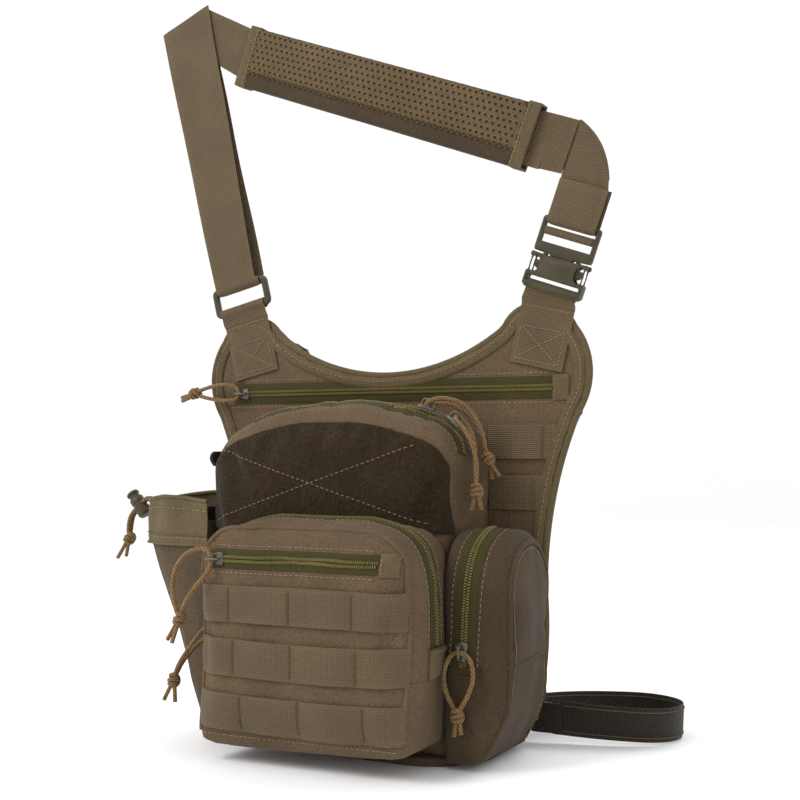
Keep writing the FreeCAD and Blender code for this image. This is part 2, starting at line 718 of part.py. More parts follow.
def make_buckle():
    y = STRAP_Y
    b = BUCKLE_HALF
    shell = box(-b, b, y - 4.5, y + 4.5, -2.25, 23)
    mouth = box(-b + 2.5, b - 2.5, y - 2.9, y + 2.9, 8.5, 24)
    bar_gap = box(-b + 2, b - 2, y - 5, y + 5, 2.25, 5.7)
    side_windows = box(-b - 1, -b + 7, y - 5, y + 5, 10, 19)
    far_windows = box(b - 7, b + 1, y - 5, y + 5, 10, 19)
    lower = box(-b - 1, b + 1, y - 5, y - 2.25, -3, 5.7)
    upper = box(-b - 1, b + 1, y + 2.25, y + 5, -3, 5.7)
    female = shell.cut(mouth).cut(bar_gap).cut(side_windows).cut(far_windows)
    female = female.cut(lower).cut(upper)
    keep("buckle_female", on_buckle(female))
    plug = box(-9, 9, y - 2.5, y + 2.5, 9.2, 26)
    shoulders = box(-b, b, y - 2.5, y + 2.5, 23.6, 29)
    rails = box(-b, -b + 3, y - 2.5, y + 2.5, 29, 49).fuse(box(b - 3, b, y - 2.5, y + 2.5, 29, 49))
    bars = [box(-b, b, y - 2.5, y + 2.5, z, z + 3.2) for z in (37.4, 45.8)]
    keep("buckle_male", on_buckle(fuse([plug, shoulders, rails] + bars)))
    for side, name in ((-1, "buckle_prong_left"), (1, "buckle_prong_right")):
        arm = [(side * 11.0, 23.3), (side * 11.0, 12), (side * 13.2, 11), (side * 18.6, 14),
               (side * 18.6, 18), (side * 15, 18), (side * 14, 23.3)]
        keep(name, on_buckle(slab_y(arm, y - 2.3, y + 2.3)))


def make_right_leg():
    """Webbing from the pad's right fold to the buckle, and the end that turns round its bar."""
    w = STRAP_WIDTH / 2 - 1.5
    bar = 47.4
    y = STRAP_Y
    t = WEBBING
    sleeve = box(-w, w, y - 2.9 - t, y + 2.9 + t, bar - 2.0 - t, 76)
    inner = box(-w - 1, w + 1, y - 2.9, y + 2.9, bar - 2.0, 77)
    keep("buckle_webbing", on_buckle(sleeve.cut(inner)))
    top = along_pad(PAD_LENGTH + 11, STRAP_WIDTH / 2)
    bottom = along_pad(PAD_LENGTH + 11, -STRAP_WIDTH / 2)

    def leg_point(across, up):
        p = on_buckle(Part.Vertex(across, 0, up)).Point
        return (p.x, p.z)

    y0 = FRONT_LAYER + 2 * WEBBING + 0.1
    fold = slab_y([top, leg_point(-15.7, 116), leg_point(w, 84), leg_point(w, 71),
                   leg_point(-w, 71), leg_point(-w, 80), bottom], y0, y0 + WEBBING)
    keep("strap_right_leg", fold)
    keep("anchor_loop_right", on_buckle(wrap(0, w, 2.25, 2.25)))


# ---- waist strap ----
def ribbon(start, heading, segments, thickness, z0, z1):
    """Webbing on edge: each segment turns left by an angle at a radius, from a start heading."""
    made = []
    x, y = start
    for radius, sweep in segments:
        a = math.radians(heading)
        cx, cy = x - radius * math.sin(a), y + radius * math.cos(a)
        sector = []
        for r in (radius + thickness / 2, radius - thickness / 2):
            row = []
            for part in (0, 0.5, 1):
                angle = a - math.pi / 2 + math.radians(sweep) * part
                row.append((cx + r * math.cos(angle), cy + r * math.sin(angle)))
            sector.append(row)
        out, inn = sector
        outline = [out[0], out[1] + out[2], inn[2], inn[1] + inn[0]]
        made.append(slab_z(outline, z0, z1))
        heading += sweep
        a = math.radians(heading)
        x, y = cx + radius * math.sin(a), cy - radius * math.cos(a)
    return made, (x, y), heading


WAIST_START = (125.0, 82.0)


def make_waist_strap():
    """Webbing on edge, lying in a loop beside the bag, with an adjuster near its end."""
    low, high = 0.2, 0.2 + ROW_HEIGHT
    turns = [(200, 16), (34, 175), (90, 40)]
    strap, end, heading = ribbon(WAIST_START, 8, turns, WEBBING, low, high)
    a = math.radians(heading)
    length = 45.0
    run = box(0, length, -WEBBING / 2, WEBBING / 2, low, high)
    frame = box(12, 24, -3, 3, low, high + 5).cut(box(11, 25, -1.1, 1.1, low - 1, high + 0.6))
    for piece in (run, frame):
        piece.rotate(V(0, 0, 0), V(0, 0, 1), math.degrees(a))
        piece.translate(V(end[0], end[1], 0))
    keep("waist_strap", fuse(strap + [run]))
    keep("waist_adjuster", frame)
    keep("waist_anchor_tab", box(102, 124.6, PANEL_BACK, PANEL_BACK + 2, BASE_TOP, BASE_TOP + 22))
    print("waist adjuster slides along", round(math.cos(a), 4), round(math.sin(a), 4))


def export():
    os.makedirs("parts", exist_ok=True)
    for old in os.listdir("parts"):
        os.remove(os.path.join("parts", old))
    for name, shape in PARTS.items():
        assert shape.isValid(), name
        shape.exportStep("parts/" + name + ".step")
        b = shape.BoundBox
        print("%-22s solids %d volume %9.1f  x %.1f..%.1f y %.1f..%.1f z %.1f..%.1f" % (
            name, len(shape.Solids), shape.Volume, b.XMin, b.XMax, b.YMin, b.YMax, b.ZMin, b.ZMax))


make_panel()
make_base()
make_main_pouch()
make_arch_zip()
make_front_pocket()
make_gusset_zip()
make_main_zip()
make_front_zip()
make_side_pocket()
make_side_zip()
make_panel_rows()
make_bottle_pouch()
make_sliders()
make_cords()
make_cord_lock()
make_anchors()
make_ring()
make_left_leg()
make_top_run()
make_pad()
make_buckle()
make_right_leg()
make_waist_strap()
export()
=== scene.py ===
import math
import bmesh
import bpy
from mathutils import Matrix, Vector, noise
from mathutils.bvhtree import BVHTree


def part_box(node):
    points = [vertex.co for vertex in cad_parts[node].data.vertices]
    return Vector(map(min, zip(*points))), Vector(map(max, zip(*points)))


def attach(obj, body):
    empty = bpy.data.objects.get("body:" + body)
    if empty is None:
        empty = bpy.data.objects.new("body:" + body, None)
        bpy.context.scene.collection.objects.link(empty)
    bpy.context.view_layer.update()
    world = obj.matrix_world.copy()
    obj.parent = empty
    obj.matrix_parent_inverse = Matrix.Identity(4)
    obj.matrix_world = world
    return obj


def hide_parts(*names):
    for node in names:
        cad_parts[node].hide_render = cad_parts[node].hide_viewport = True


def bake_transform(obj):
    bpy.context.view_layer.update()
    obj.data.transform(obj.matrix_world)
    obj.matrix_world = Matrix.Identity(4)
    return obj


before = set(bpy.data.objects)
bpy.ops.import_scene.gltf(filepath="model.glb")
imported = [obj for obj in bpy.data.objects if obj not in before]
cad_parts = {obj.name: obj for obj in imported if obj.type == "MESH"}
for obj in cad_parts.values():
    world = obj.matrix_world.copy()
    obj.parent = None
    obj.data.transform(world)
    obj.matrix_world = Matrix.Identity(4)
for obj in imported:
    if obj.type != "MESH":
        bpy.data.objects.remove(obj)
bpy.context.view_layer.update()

# Lengths below are in millimetres, and MM turns them into metres where a piece is made. Looks,
# lights, the camera and the floor are in metres.
MM = 0.001
TILT = 13.0              # outward lean of the strap anchors, in degrees
CORD = 3.0               # thickness of the pull cords and the drawcord
# Depths from which tapes and stitches are cast back onto a surface.
FROM_FRONT = -130.0
FROM_POUCH = -60.0
FROM_PANEL = -10.0


# ---------------------------------------------------------------- camera, stage, light
def make_camera():
    """View of the bag from its front right, a little below its middle."""
    data = bpy.data.cameras.new("camera")
    data.lens = 57.5
    data.sensor_width = 36.0
    data.shift_y = 0.0625
    camera = bpy.data.objects.new("camera", data)
    bpy.context.scene.collection.objects.link(camera)
    camera.location = (0.4402, -0.7970, 0.2121)
    camera.rotation_euler = Vector((-0.454, 0.891, 0.0)).to_track_quat("-Z", "Y").to_euler()
    bpy.context.scene.camera = camera


def area_light(name, location, target, size, power):
    data = bpy.data.lights.new(name, "AREA")
    data.shape = "RECTANGLE"
    data.size, data.size_y = size
    data.energy = power
    light = bpy.data.objects.new(name, data)
    bpy.context.scene.collection.objects.link(light)
    light.location = location
    aim = Vector(target) - Vector(location)
    light.rotation_euler = aim.to_track_quat("-Z", "Y").to_euler()


def make_stage():
    """White floor that curves up behind the bag, a white world and three soft lights."""
    mesh = bpy.data.meshes.new("floor")
    reach, back, rise, bend = 6.0, 3.0, 4.0, 1.2
    rows = [(-reach, 0.0), (back, 0.0)]
    rows += [(back + bend * math.sin(a), bend * (1 - math.cos(a)))
             for a in (math.pi / 2 * k / 12 for k in range(1, 13))]
    rows += [(back + bend, rise)]
    verts = [(x, y, z) for y, z in rows for x in (-reach, reach)]
    faces = [(2 * k, 2 * k + 1, 2 * k + 3, 2 * k + 2) for k in range(len(rows) - 1)]
    mesh.from_pydata(verts, [], faces)
    mesh.shade_smooth()
    floor = bpy.data.objects.new("floor", mesh)
    bpy.context.scene.collection.objects.link(floor)
    floor.rotation_euler = (0, 0, math.radians(27))
    look = Look("floor_paper", 0.75)
    look.colour(look.mottle(srgb(249, 249, 250), srgb(250, 250, 251), 3.0))
    mesh.materials.append(look.material)
    world = bpy.data.worlds.new("studio")
    world.use_nodes = True
    world.node_tree.nodes["Background"].inputs["Color"].default_value = (1.0, 1.0, 1.0, 1.0)
    world.node_tree.nodes["Background"].inputs["Strength"].default_value = 0.98
    bpy.context.scene.world = world
    bpy.context.scene.view_settings.view_transform = "Standard"
    area_light("key", (-1.1, -1.5, 1.7), (0, 0, 0.25), size=(1.2, 1.2), power=34)
    area_light("fill", (1.6, -1.0, 0.9), (0, 0, 0.25), size=(1.0, 1.4), power=1.5)
    area_light("rim", (0.6, 1.5, 1.5), (0, 0, 0.3), size=(1.4, 0.8), power=14)


# ---------------------------------------------------------------- materials
def srgb(*levels):
    scaled = [c / 255 for c in levels]
    return tuple(c / 12.92 if c <= 0.04045 else ((c + 0.055) / 1.055) ** 2.4 for c in scaled) + (1.0,)


class Look:
    """A principled material and short names for the nodes that feed it."""

    def __init__(self, name, roughness, metallic=0.0, sheen=0.0, coat=0.0, specular=0.5):
        self.material = bpy.data.materials.new(name)
        self.material.use_nodes = True
        self.tree = self.material.node_tree
        self.shader = self.tree.nodes["Principled BSDF"]
        self.set(Roughness=roughness, Metallic=metallic)
        self.shader.inputs["Sheen Weight"].default_value = sheen
        self.shader.inputs["Sheen Roughness"].default_value = 0.5
        self.shader.inputs["Coat Weight"].default_value = coat
        self.shader.inputs["Specular IOR Level"].default_value = specular
        self.coordinates = self.tree.nodes.new("ShaderNodeTexCoord")

    def set(self, **values):
        for name, value in values.items():
            self.shader.inputs[name].default_value = value

    def link(self, source, target):
        self.tree.links.new(source, target)

    def maths(self, operation, a, b=0.0):
        node = self.tree.nodes.new("ShaderNodeMath")
        node.operation = operation
        for socket, value in zip(node.inputs, (a, b)):
            if isinstance(value, (int, float)):
                socket.default_value = value
            else:
                self.link(value, socket)
        return node.outputs[0]

    def wave(self, axis, period, source="Object"):
        """Sine bands across an axis; the texture's scale s repeats them every pi / (10 s)."""
        node = self.tree.nodes.new("ShaderNodeTexWave")
        node.bands_direction = axis
        node.inputs["Scale"].default_value = math.pi / 10 / period
        self.link(self.coordinates.outputs[source], node.inputs["Vector"])
        return node.outputs["Fac"]

    def noise(self, scale, detail=4.0, source="Object"):
        node = self.tree.nodes.new("ShaderNodeTexNoise")
        node.inputs["Scale"].default_value = scale
        node.inputs["Detail"].default_value = detail
        self.link(self.coordinates.outputs[source], node.inputs["Vector"])
        return node.outputs["Fac"]

    def streaks(self, x, y, z, detail=2.0):
        """Noise drawn out along the axes with the smaller scales, as threads are."""
        node = self.tree.nodes.new("ShaderNodeMapping")
        node.inputs["Scale"].default_value = (x, y, z)
        self.link(self.coordinates.outputs["Object"], node.inputs["Vector"])
        cloud = self.tree.nodes.new("ShaderNodeTexNoise")
        cloud.inputs["Scale"].default_value = 1.0
        cloud.inputs["Detail"].default_value = detail
        self.link(node.outputs["Vector"], cloud.inputs["Vector"])
        return cloud.outputs["Fac"]

    def mix(self, factor, a, b):
        node = self.tree.nodes.new("ShaderNodeMix")
        node.data_type = "RGBA"
        if isinstance(factor, (int, float)):
            node.inputs[0].default_value = factor
        else:
            self.link(factor, node.inputs[0])
        for socket, value in ((node.inputs[6], a), (node.inputs[7], b)):
            if isinstance(value, tuple):
                socket.default_value = value
            else:
                self.link(value, socket)
        return node.outputs[2]

    def between(self, value, low, high):
        node = self.tree.nodes.new("ShaderNodeMapRange")
        node.inputs["From Min"].default_value = low
        node.inputs["From Max"].default_value = high
        self.link(value, node.inputs["Value"])
        return node.outputs["Result"]

    def mottle(self, dark, light, scale):
        return self.mix(self.between(self.noise(scale), 0.3, 0.7), dark, light)

    def worn(self, colour, pale, amount):
        """Paler where the surface is sharply convex."""
        geometry = self.tree.nodes.new("ShaderNodeNewGeometry")
        edge = self.between(geometry.outputs["Pointiness"], 0.52, 0.62)
        return self.mix(self.maths("MULTIPLY", edge, amount), colour, pale)

    def colour(self, value):
        self.link(value, self.shader.inputs["Base Color"])

    def bump(self, height, distance, strength=1.0):
        node = self.tree.nodes.new("ShaderNodeBump")
        node.inputs["Strength"].default_value = strength
        node.inputs["Distance"].default_value = distance
        self.link(height, node.inputs["Height"])
        self.link(node.outputs["Normal"], self.shader.inputs["Normal"])

    def roughen(self, value, low, high):
        node = self.tree.nodes.new("ShaderNodeMapRange")
        node.inputs["To Min"].default_value = low
        node.inputs["To Max"].default_value = high
        self.link(value, node.inputs["Value"])
        self.link(node.outputs["Result"], self.shader.inputs["Roughness"])


def woven(name, dark, light, thread=0.0011, depth=0.00022, sheen=0.05, worn=0.3):
    """Plain weave: slubby warp and weft, mottled colour, painted shade in the gaps between threads, paler at
    worn edges.
    """
    look = Look(name, 0.85, sheen=sheen, specular=0.15)
    fine, long = 1.8 / thread, 0.5 / thread
    warp, weft = look.streaks(fine, fine, long), look.streaks(long, long, fine)
    cloth = look.maths("MULTIPLY", look.maths("ADD", warp, weft), 0.5)
    base = look.mottle(dark, light, 22)
    # Painted shade: the gaps between threads take a darker copy of the colour.
    thread_shadow = tuple(c * 0.62 for c in dark[:3]) + (1.0,)
    base = look.mix(look.between(cloth, 0.34, 0.56), thread_shadow, base)
    look.colour(look.worn(base, light, worn))
    look.bump(cloth, depth * 2)
    look.roughen(warp, 0.75, 0.95)
    return look.material


def ribbed(name, dark, light, rib=0.0014, cross=0.0017, depth=0.0004, gloss=0.65):
    """Webbing: ribs along its length crossed by the weft, from the strip's own UV in metres, with painted
    shade between the ribs.
    """
    look = Look(name, gloss, sheen=0.05, specular=0.3)
    ribs = look.wave("X", rib, "UV")
    weft = look.wave("Y", cross, "UV")
    grid = look.maths("MULTIPLY", look.maths("ADD", ribs, 0.25), look.maths("ADD", weft, 0.35))
    base = look.mottle(dark, light, 35)
    # Painted shade: where the ribs and the weft dip, the colour goes to a darker copy.
    base = look.mix(look.between(grid, 0.1, 0.9), tuple(c * 0.42 for c in dark[:3]) + (1.0,), base)
    look.colour(look.worn(base, light, 0.3))
    look.bump(grid, depth)
    look.roughen(look.noise(400), gloss - 0.1, gloss + 0.15)
    return look.material


def pile_fabric(name, dark, light):
    """Fuzzy loops: fine high noise under a strong sheen, with painted shade where the loops dip."""
    look = Look(name, 0.95, sheen=0.08, specular=0.05)
    fuzz = look.maths("ADD", look.noise(1400, 3), look.noise(500, 2))
    base = look.mottle(dark, light, 30)
    # Painted shade: where the fuzz is low, the colour goes to a darker copy.
    look.colour(look.mix(look.between(fuzz, 0.75, 1.25), tuple(c * 0.5 for c in dark[:3]) + (1.0,), base))
    look.bump(fuzz, 0.0006)
    return look.material


def moulded(name, dark, light, roughness):
    look = Look(name, roughness, coat=0.04, specular=0.25)
    rubbed = tuple(min(1, c * 1.7) for c in light[:3]) + (1.0,)
    look.colour(look.worn(look.mottle(dark, light, 60), rubbed, 0.35))
    look.bump(look.noise(2500, 2), 0.00003)
    look.roughen(look.noise(250), roughness - 0.08, roughness + 0.14)
    return look.material


def plated(name, dark, light):
    look = Look(name, 0.42, metallic=0.5, specular=0.3)
    look.colour(look.worn(look.mottle(dark, light, 300), srgb(140, 133, 120), 0.5))
    look.bump(look.noise(1800, 2), 0.00003)
    look.roughen(look.noise(600), 0.28, 0.5)
    return look.material


def netted(name, dark, light, cell=0.0045):
    """Spacer knit: pits in even rows darkened by painted shade, with a fine grain between them."""
    look = Look(name, 0.9, sheen=0.05, specular=0.1)
    flat = look.tree.nodes.new("ShaderNodeMapping")
    flat.inputs["Scale"].default_value = (1 / cell, 0.0, 1 / cell)
    look.link(look.coordinates.outputs["Object"], flat.inputs["Vector"])
    cells = look.tree.nodes.new("ShaderNodeTexVoronoi")
    cells.voronoi_dimensions = "3D"
    cells.inputs["Scale"].default_value = 1.0
    cells.inputs["Randomness"].default_value = 0.0
    look.link(flat.outputs["Vector"], cells.inputs["Vector"])
    rim = look.between(cells.outputs["Distance"], 0.24, 0.36)
    base = look.mix(look.noise(1600, 2), look.mottle(dark, light, 25), light)
    # Painted shade: the pits take a darker copy of the colour.
    look.colour(look.mix(rim, tuple(c * 0.35 for c in dark[:3]) + (1.0,), base))
    look.bump(rim, 0.0007)
    return look.material


def braided(name, dark, light):
    """Cord sheath: two crossed diagonals of strands, with painted shade between them."""
    look = Look(name, 0.7, sheen=0.2, specular=0.3)
    x, z = look.wave("X", 0.0016), look.wave("Z", 0.0016)
    strands = look.maths("ADD", look.wave("DIAGONAL", 0.0016), look.maths("MULTIPLY", x, z))
    base = look.mottle(dark, light, 120)
    # Painted shade: between the strands the colour goes to a darker copy.
    look.colour(look.mix(look.between(strands, 0.2, 1.3), tuple(c * 0.5 for c in dark[:3]) + (1.0,), base))
    look.bump(strands, 0.0003)
    return look.material


FABRIC = woven("coyote_nylon", srgb(87, 71, 52), srgb(102, 84, 63))
# Shaded copy of the coyote nylon: painted shade for the side pocket's right face, its seams and the shoulder
# pad.
FABRIC_SHADED = woven("coyote_nylon_painted_shade", srgb(62, 51, 37), srgb(75, 62, 45))
# Darker copy of the coyote nylon for the bottle pouch, which faces the key light: painted shade.
FABRIC_LEFT_SHADED = woven("coyote_nylon_left_painted_shade", srgb(74, 61, 45), srgb(88, 73, 55))
# Darker copy of the coyote nylon for the bag's underside: painted shade.
BASE_SHADED = woven("base_nylon_painted_shade", srgb(72, 59, 43), srgb(84, 69, 51), worn=0.2)
NYLON = woven("thin_collar_nylon", srgb(88, 77, 54), srgb(108, 95, 68), thread=0.0008, depth=0.0001,
              worn=0.1)
# Near-black cloth: the bottle pouch's lining, darkened as painted shade of the pouch's inside; also the
# painted shade in the pad mesh's holes, and the pouch's side stub.
LINING_AND_SHADE = woven("dark_lining_and_painted_shade", srgb(36, 30, 22), srgb(48, 40, 29), thread=0.0008, depth=0.0001, worn=0.0)
BINDING = woven("grosgrain_binding", srgb(86, 73, 51), srgb(98, 84, 60), thread=0.0009, depth=0.00016)
WEBBING = ribbed("tan_webbing", srgb(96, 79, 53), srgb(111, 92, 63))
WAIST = ribbed("dark_webbing", srgb(35, 28, 17), srgb(46, 37, 22), gloss=0.6)
PILE = pile_fabric("loop_pile", srgb(47, 37, 25), srgb(58, 46, 32))
TAPE = woven("olive_zip_tape", srgb(54, 49, 23), srgb(66, 60, 30), thread=0.0008, depth=0.00012, worn=0.1)
COIL = moulded("olive_zip_coil", srgb(78, 71, 35), srgb(98, 89, 46), 0.55)
MESH = woven("spacer_mesh", srgb(92, 76, 53), srgb(109, 91, 64), thread=0.0009, depth=0.00012)
BACK_MESH = netted("back_spacer_mesh", srgb(84, 70, 49), srgb(100, 84, 59))
THREAD = woven("pale_thread", srgb(134, 115, 84), srgb(152, 132, 98), thread=0.0005, depth=0.0001)
OLIVE_THREAD = woven("olive_thread", srgb(84, 72, 48), srgb(98, 84, 57), thread=0.0005, depth=0.0001)
CORDAGE = braided("ochre_cord", srgb(120, 88, 45), srgb(143, 107, 58))
PLASTIC = moulded("dark_olive_acetal", srgb(50, 44, 27), srgb(63, 56, 35), 0.46)
METAL = plated("worn_gunmetal", srgb(46, 42, 34), srgb(68, 62, 52))
STEEL = plated("spring_steel", srgb(140, 140, 140), srgb(180, 180, 180))


# ---------------------------------------------------------------- mesh helpers
BOXES = {}


def box(node):
    if node not in BOXES:
        low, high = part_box(node)
        BOXES[node] = low / MM, high / MM
    return BOXES[node]


class Pile:
    """Vertices, faces and UVs gathered for one piece, in millimetres."""

    def __init__(self):
        self.verts = []
        self.faces = []
        self.uvs = []

    def add(self, verts, faces, uvs=None):
        start = len(self.verts)
        self.verts += [Vector(v) for v in verts]
        self.faces += [tuple(start + i for i in face) for face in faces]
        self.uvs += uvs if uvs else [(v[0], v[2]) for v in verts]

    def sheet(self, top, bottom):
        """Closed slab between two matching grids of points."""
        rows, columns = len(top), len(top[0])
        along = [0.0]
        middle = columns // 2
        for i in range(1, rows):
            along.append(along[-1] + (top[i][middle] - top[i - 1][middle]).length)
        uvs = []
        for i, row in enumerate(top):
            across = 0.0
            for j, p in enumerate(row):
                across += (p - row[j - 1]).length if j else 0.0
                uvs.append((across, along[i]))
        count = rows * columns
        faces = []
        for i in range(rows - 1):
            for j in range(columns - 1):
                a = i * columns + j
                quad = (a, a + 1, a + columns + 1, a + columns)
                faces.append(quad)
                faces.append(tuple(count + k for k in reversed(quad)))
        border = [j for j in range(columns)]
        border += [i * columns + columns - 1 for i in range(1, rows)]
        border += [(rows - 1) * columns + j for j in range(columns - 2, -1, -1)]
        border += [i * columns for i in range(rows - 2, 0, -1)]
        for k, a in enumerate(border):
            b = border[(k + 1) % len(border)]
            faces.append((b, a, count + a, count + b))
        verts = [p for row in top for p in row] + [p for row in bottom for p in row]
        self.add(verts, faces, uvs + uvs)

    def strip(self, rows, thick, facing=(0, -1, 0), selvedge=0.25):
        """Webbing through rows of points, thinner along its two edges. facing is the way out of
        its top: one for all rows, or a list with one for each."""
        outs = facing if isinstance(facing, list) else [Vector(facing)] * len(rows)
        top, bottom = [], []
        for row, out in zip(rows, outs):
            last = len(row) - 1
            shift = [out * (thick / 2 * (selvedge if j in (0, last) else 1.0)) for j in range(last + 1)]
            top.append([p + d for p, d in zip(row, shift)])
            bottom.append([p - d for p, d in zip(row, shift)])
        self.sheet(top, bottom)
        return top, bottom

    def tube(self, points, radius, sides=8, closed=False):
        """Round tube along points; the radius may be a function of the share of the way along."""
        n = len(points)
        rings = []
        normal = None
        travelled = 0.0
        uvs = []
        for i, p in enumerate(points):
            before = points[i - 1] if i or closed else p
            after = points[(i + 1) % n] if i < n - 1 or closed else p
            tangent = (after - before).normalized()
            if normal is None:
                normal = tangent.orthogonal().normalized()
            normal = (normal - tangent * normal.dot(tangent)).normalized()
            side = tangent.cross(normal)
            travelled += (p - points[i - 1]).length if i else 0.0
            r = radius(i / max(1, n - 1)) if callable(radius) else radius
            for k in range(sides):
                a = 2 * math.pi * k / sides
                rings.append(p + normal * (r * math.cos(a)) + side * (r * math.sin(a)))
                uvs.append((a * r, travelled))
        faces = []
        for i in range(n if closed else n - 1):
            for k in range(sides):
                a, b = i * sides + k, i * sides + (k + 1) % sides
                c, d = ((i + 1) % n) * sides + (k + 1) % sides, ((i + 1) % n) * sides + k
                faces.append((a, b, c, d))
        if not closed:
            faces.append(tuple(range(sides - 1, -1, -1)))
            faces.append(tuple((n - 1) * sides + k for k in range(sides)))
        self.add(rings, faces, uvs)

    def stitch(self, start, end, out, radius=0.3):
        """One sunken stitch: a short grain of thread."""
        middle = (start + end) / 2 + out * 0.25
        rise = out * 0.2
        line = [start, start.lerp(middle, 0.4) + rise, middle, end.lerp(middle, 0.4) + rise, end]
        self.tube(line, lambda t: radius * (0.45 + 0.55 * math.sin(math.pi * t)), 5)

    def block(self, centre, axes, half, ease=0.25):
        """Small block with its top edges eased inward."""
        x, y, z = axes
        verts = []
        for level, shrink in ((-1, 1.0), (0.5, 1.0), (1, 1.0 - ease)):
            for a, b in ((-1, -1), (1, -1), (1, 1), (-1, 1)):
                verts.append(centre + x * (a * half[0] * shrink) + y * (b * half[1] * shrink)
                             + z * (level * half[2]))
        self.add(verts, [(3, 2, 1, 0), (8, 9, 10, 11)] + ring_faces(3, 4))

    def object(self, name, material, smooth=True):
        mesh = bpy.data.meshes.new(name)
        mesh.from_pydata([v * MM for v in self.verts], [], self.faces)
        layer = mesh.uv_layers.new(name="metres")
        for loop in mesh.loops:
            u, v = self.uvs[loop.vertex_index]
            layer.data[loop.index].uv = (u * MM, v * MM)
        bm = bmesh.new()
        bm.from_mesh(mesh)
        bmesh.ops.recalc_face_normals(bm, faces=bm.faces)
        bm.to_mesh(mesh)
        bm.free()
        if smooth:
            mesh.shade_smooth()
            mesh.set_sharp_from_angle(angle=math.radians(50))
        mesh.materials.append(material)
        made = bpy.data.objects.new(name, mesh)
        bpy.context.scene.collection.objects.link(made)
        return made


def place(piece, body, slot, *nodes):
    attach(piece, body)
    if nodes:
        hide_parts(*nodes)
    return piece


def baked(obj):
    """Applies the object's modifiers."""
    graph = bpy.context.evaluated_depsgraph_get()
    mesh = bpy.data.meshes.new_from_object(obj.evaluated_get(graph))
    obj.modifiers.clear()
    old, obj.data = obj.data, mesh
    bpy.data.meshes.remove(old)
    return obj


def traced(points, step=2.5):
    """Points along lines (a, b) and along arcs through a middle point (am, bm, a, b)."""
    line = [Vector(points[0])]
    for p in points[1:]:
        start, end = line[-1], Vector(p[-2:])
        if len(p) == 2:
            n = max(1, round((end - start).length / step))
            line += [start.lerp(end, i / n) for i in range(1, n + 1)]
            continue
        middle = Vector(p[:2])
        ab, ac = middle - start, end - start
        d = 2 * (ab.x * ac.y - ab.y * ac.x)
        cx = (ac.y * ab.length_squared - ab.y * ac.length_squared) / d
        cy = (ab.x * ac.length_squared - ac.x * ab.length_squared) / d
        centre = start + Vector((cx, cy))
        radius = math.hypot(cx, cy)
        angles = [math.atan2(q.y - centre.y, q.x - centre.x) for q in (start, middle, end)]
        to_middle = (angles[1] - angles[0]) % (2 * math.pi)
        sweep = (angles[2] - angles[0]) % (2 * math.pi)
        if to_middle > sweep:
            sweep -= 2 * math.pi
        n = max(2, round(abs(sweep) * radius / step))
        for i in range(1, n + 1):
            a = angles[0] + sweep * i / n
            line.append(centre + Vector((math.cos(a), math.sin(a))) * radius)
    return line


class Track:
    """A flat line followed by its length, with the direction that faces away from a middle."""

    def __init__(self, points, middle):
        self.points = points
        self.middle = Vector(middle)
        self.lengths = [0.0]
        for a, b in zip(points, points[1:]):
            self.lengths.append(self.lengths[-1] + (b - a).length)
        self.length = self.lengths[-1]

    def at(self, distance):
        distance = min(max(distance, 0.0), self.length)
        k = 1
        while k < len(self.lengths) - 1 and self.lengths[k] < distance:
            k += 1
        a, b = self.points[k - 1], self.points[k]
        span = self.lengths[k] - self.lengths[k - 1]
        p = a.lerp(b, (distance - self.lengths[k - 1]) / span if span else 0.0)
        before = self.points[max(0, k - 2)]
        after = self.points[min(len(self.points) - 1, k + 1)]
        out = Vector((after.y - before.y, before.x - after.x)).normalized()
        if out.dot(p - self.middle) < 0:
            out = -out
        return p, out


class Skin:
    """Final surface of some pieces, to lay tapes, rows and stitches on."""

    def __init__(self, *objects):
        verts, faces = [], []
        for obj in objects:
            start = len(verts)
            verts += [v.co / MM for v in obj.data.vertices]
            faces += [tuple(start + i for i in f.vertices) for f in obj.data.polygons]
        self.tree = BVHTree.FromPolygons(verts, faces)

    def hit(self, origin, direction, reach=70.0):
        """The surface met from origin along direction, and its side that faces back."""
        origin, direction = Vector(origin), Vector(direction).normalized()
        place_, normal, _, _ = self.tree.ray_cast(origin, direction, reach)
        if place_ is None:
            place_, normal, _, _ = self.tree.find_nearest(origin + direction * 30)
        if normal.dot(direction) > 0:
            normal = -normal
        return place_, normal


def drape(pile, skin, source, nu, nv, thick, lift=-0.4, edge=0.45):
    """Lays a strip of cloth on a surface; source(u, v) gives a point above it and the way down."""
    top, bottom = [], []
    for i in range(nu + 1):
        top_row, bottom_row = [], []
        for j in range(nv + 1):
            p, n = skin.hit(*source(i / nu, j / nv))
            rim = i in (0, nu) or j in (0, nv)
            top_row.append(p + n * (lift + thick * (edge if rim else 1.0)))
            bottom_row.append(p + n * (lift - 0.3))
        top.append(top_row)
        bottom.append(bottom_row)
    pile.sheet(top, bottom)


SEAM_PITCH = 3.9         # from one stitch to the next in the bag's long seams


def sew(pile, skin, source, length, pitch=3.7, stitch=2.6, lift=0.1):
    """A row of stitches; source(t) gives a point above the surface and the way down."""
    for k in range(int(length / pitch)):
        t0 = (k * pitch + 0.5) / length
        t1 = (k * pitch + 0.5 + stitch) / length
        a, n = skin.hit(*source(t0))
        b, _ = skin.hit(*source(t1))
        if (a - b).length < 2 * stitch:
            pile.stitch(a + n * lift, b + n * lift, n)


def front(x, z, y=FROM_FRONT):
    """A cast straight back onto a surface that faces the front."""
    return (x, y, z), (0, 1, 0)


def from_right(y, z, x=170.0):
    """A cast straight to the left onto a surface that faces the right."""
    return (x, y, z), (-1, 0, 0)


def lerp(a, b, t):
    return a + (b - a) * t


def grid(rows, columns, point):
    """Points over a sheet; point takes the shares of the way along and across it."""
    return [[point(i / rows, j / columns) for j in range(columns + 1)] for i in range(rows + 1)]


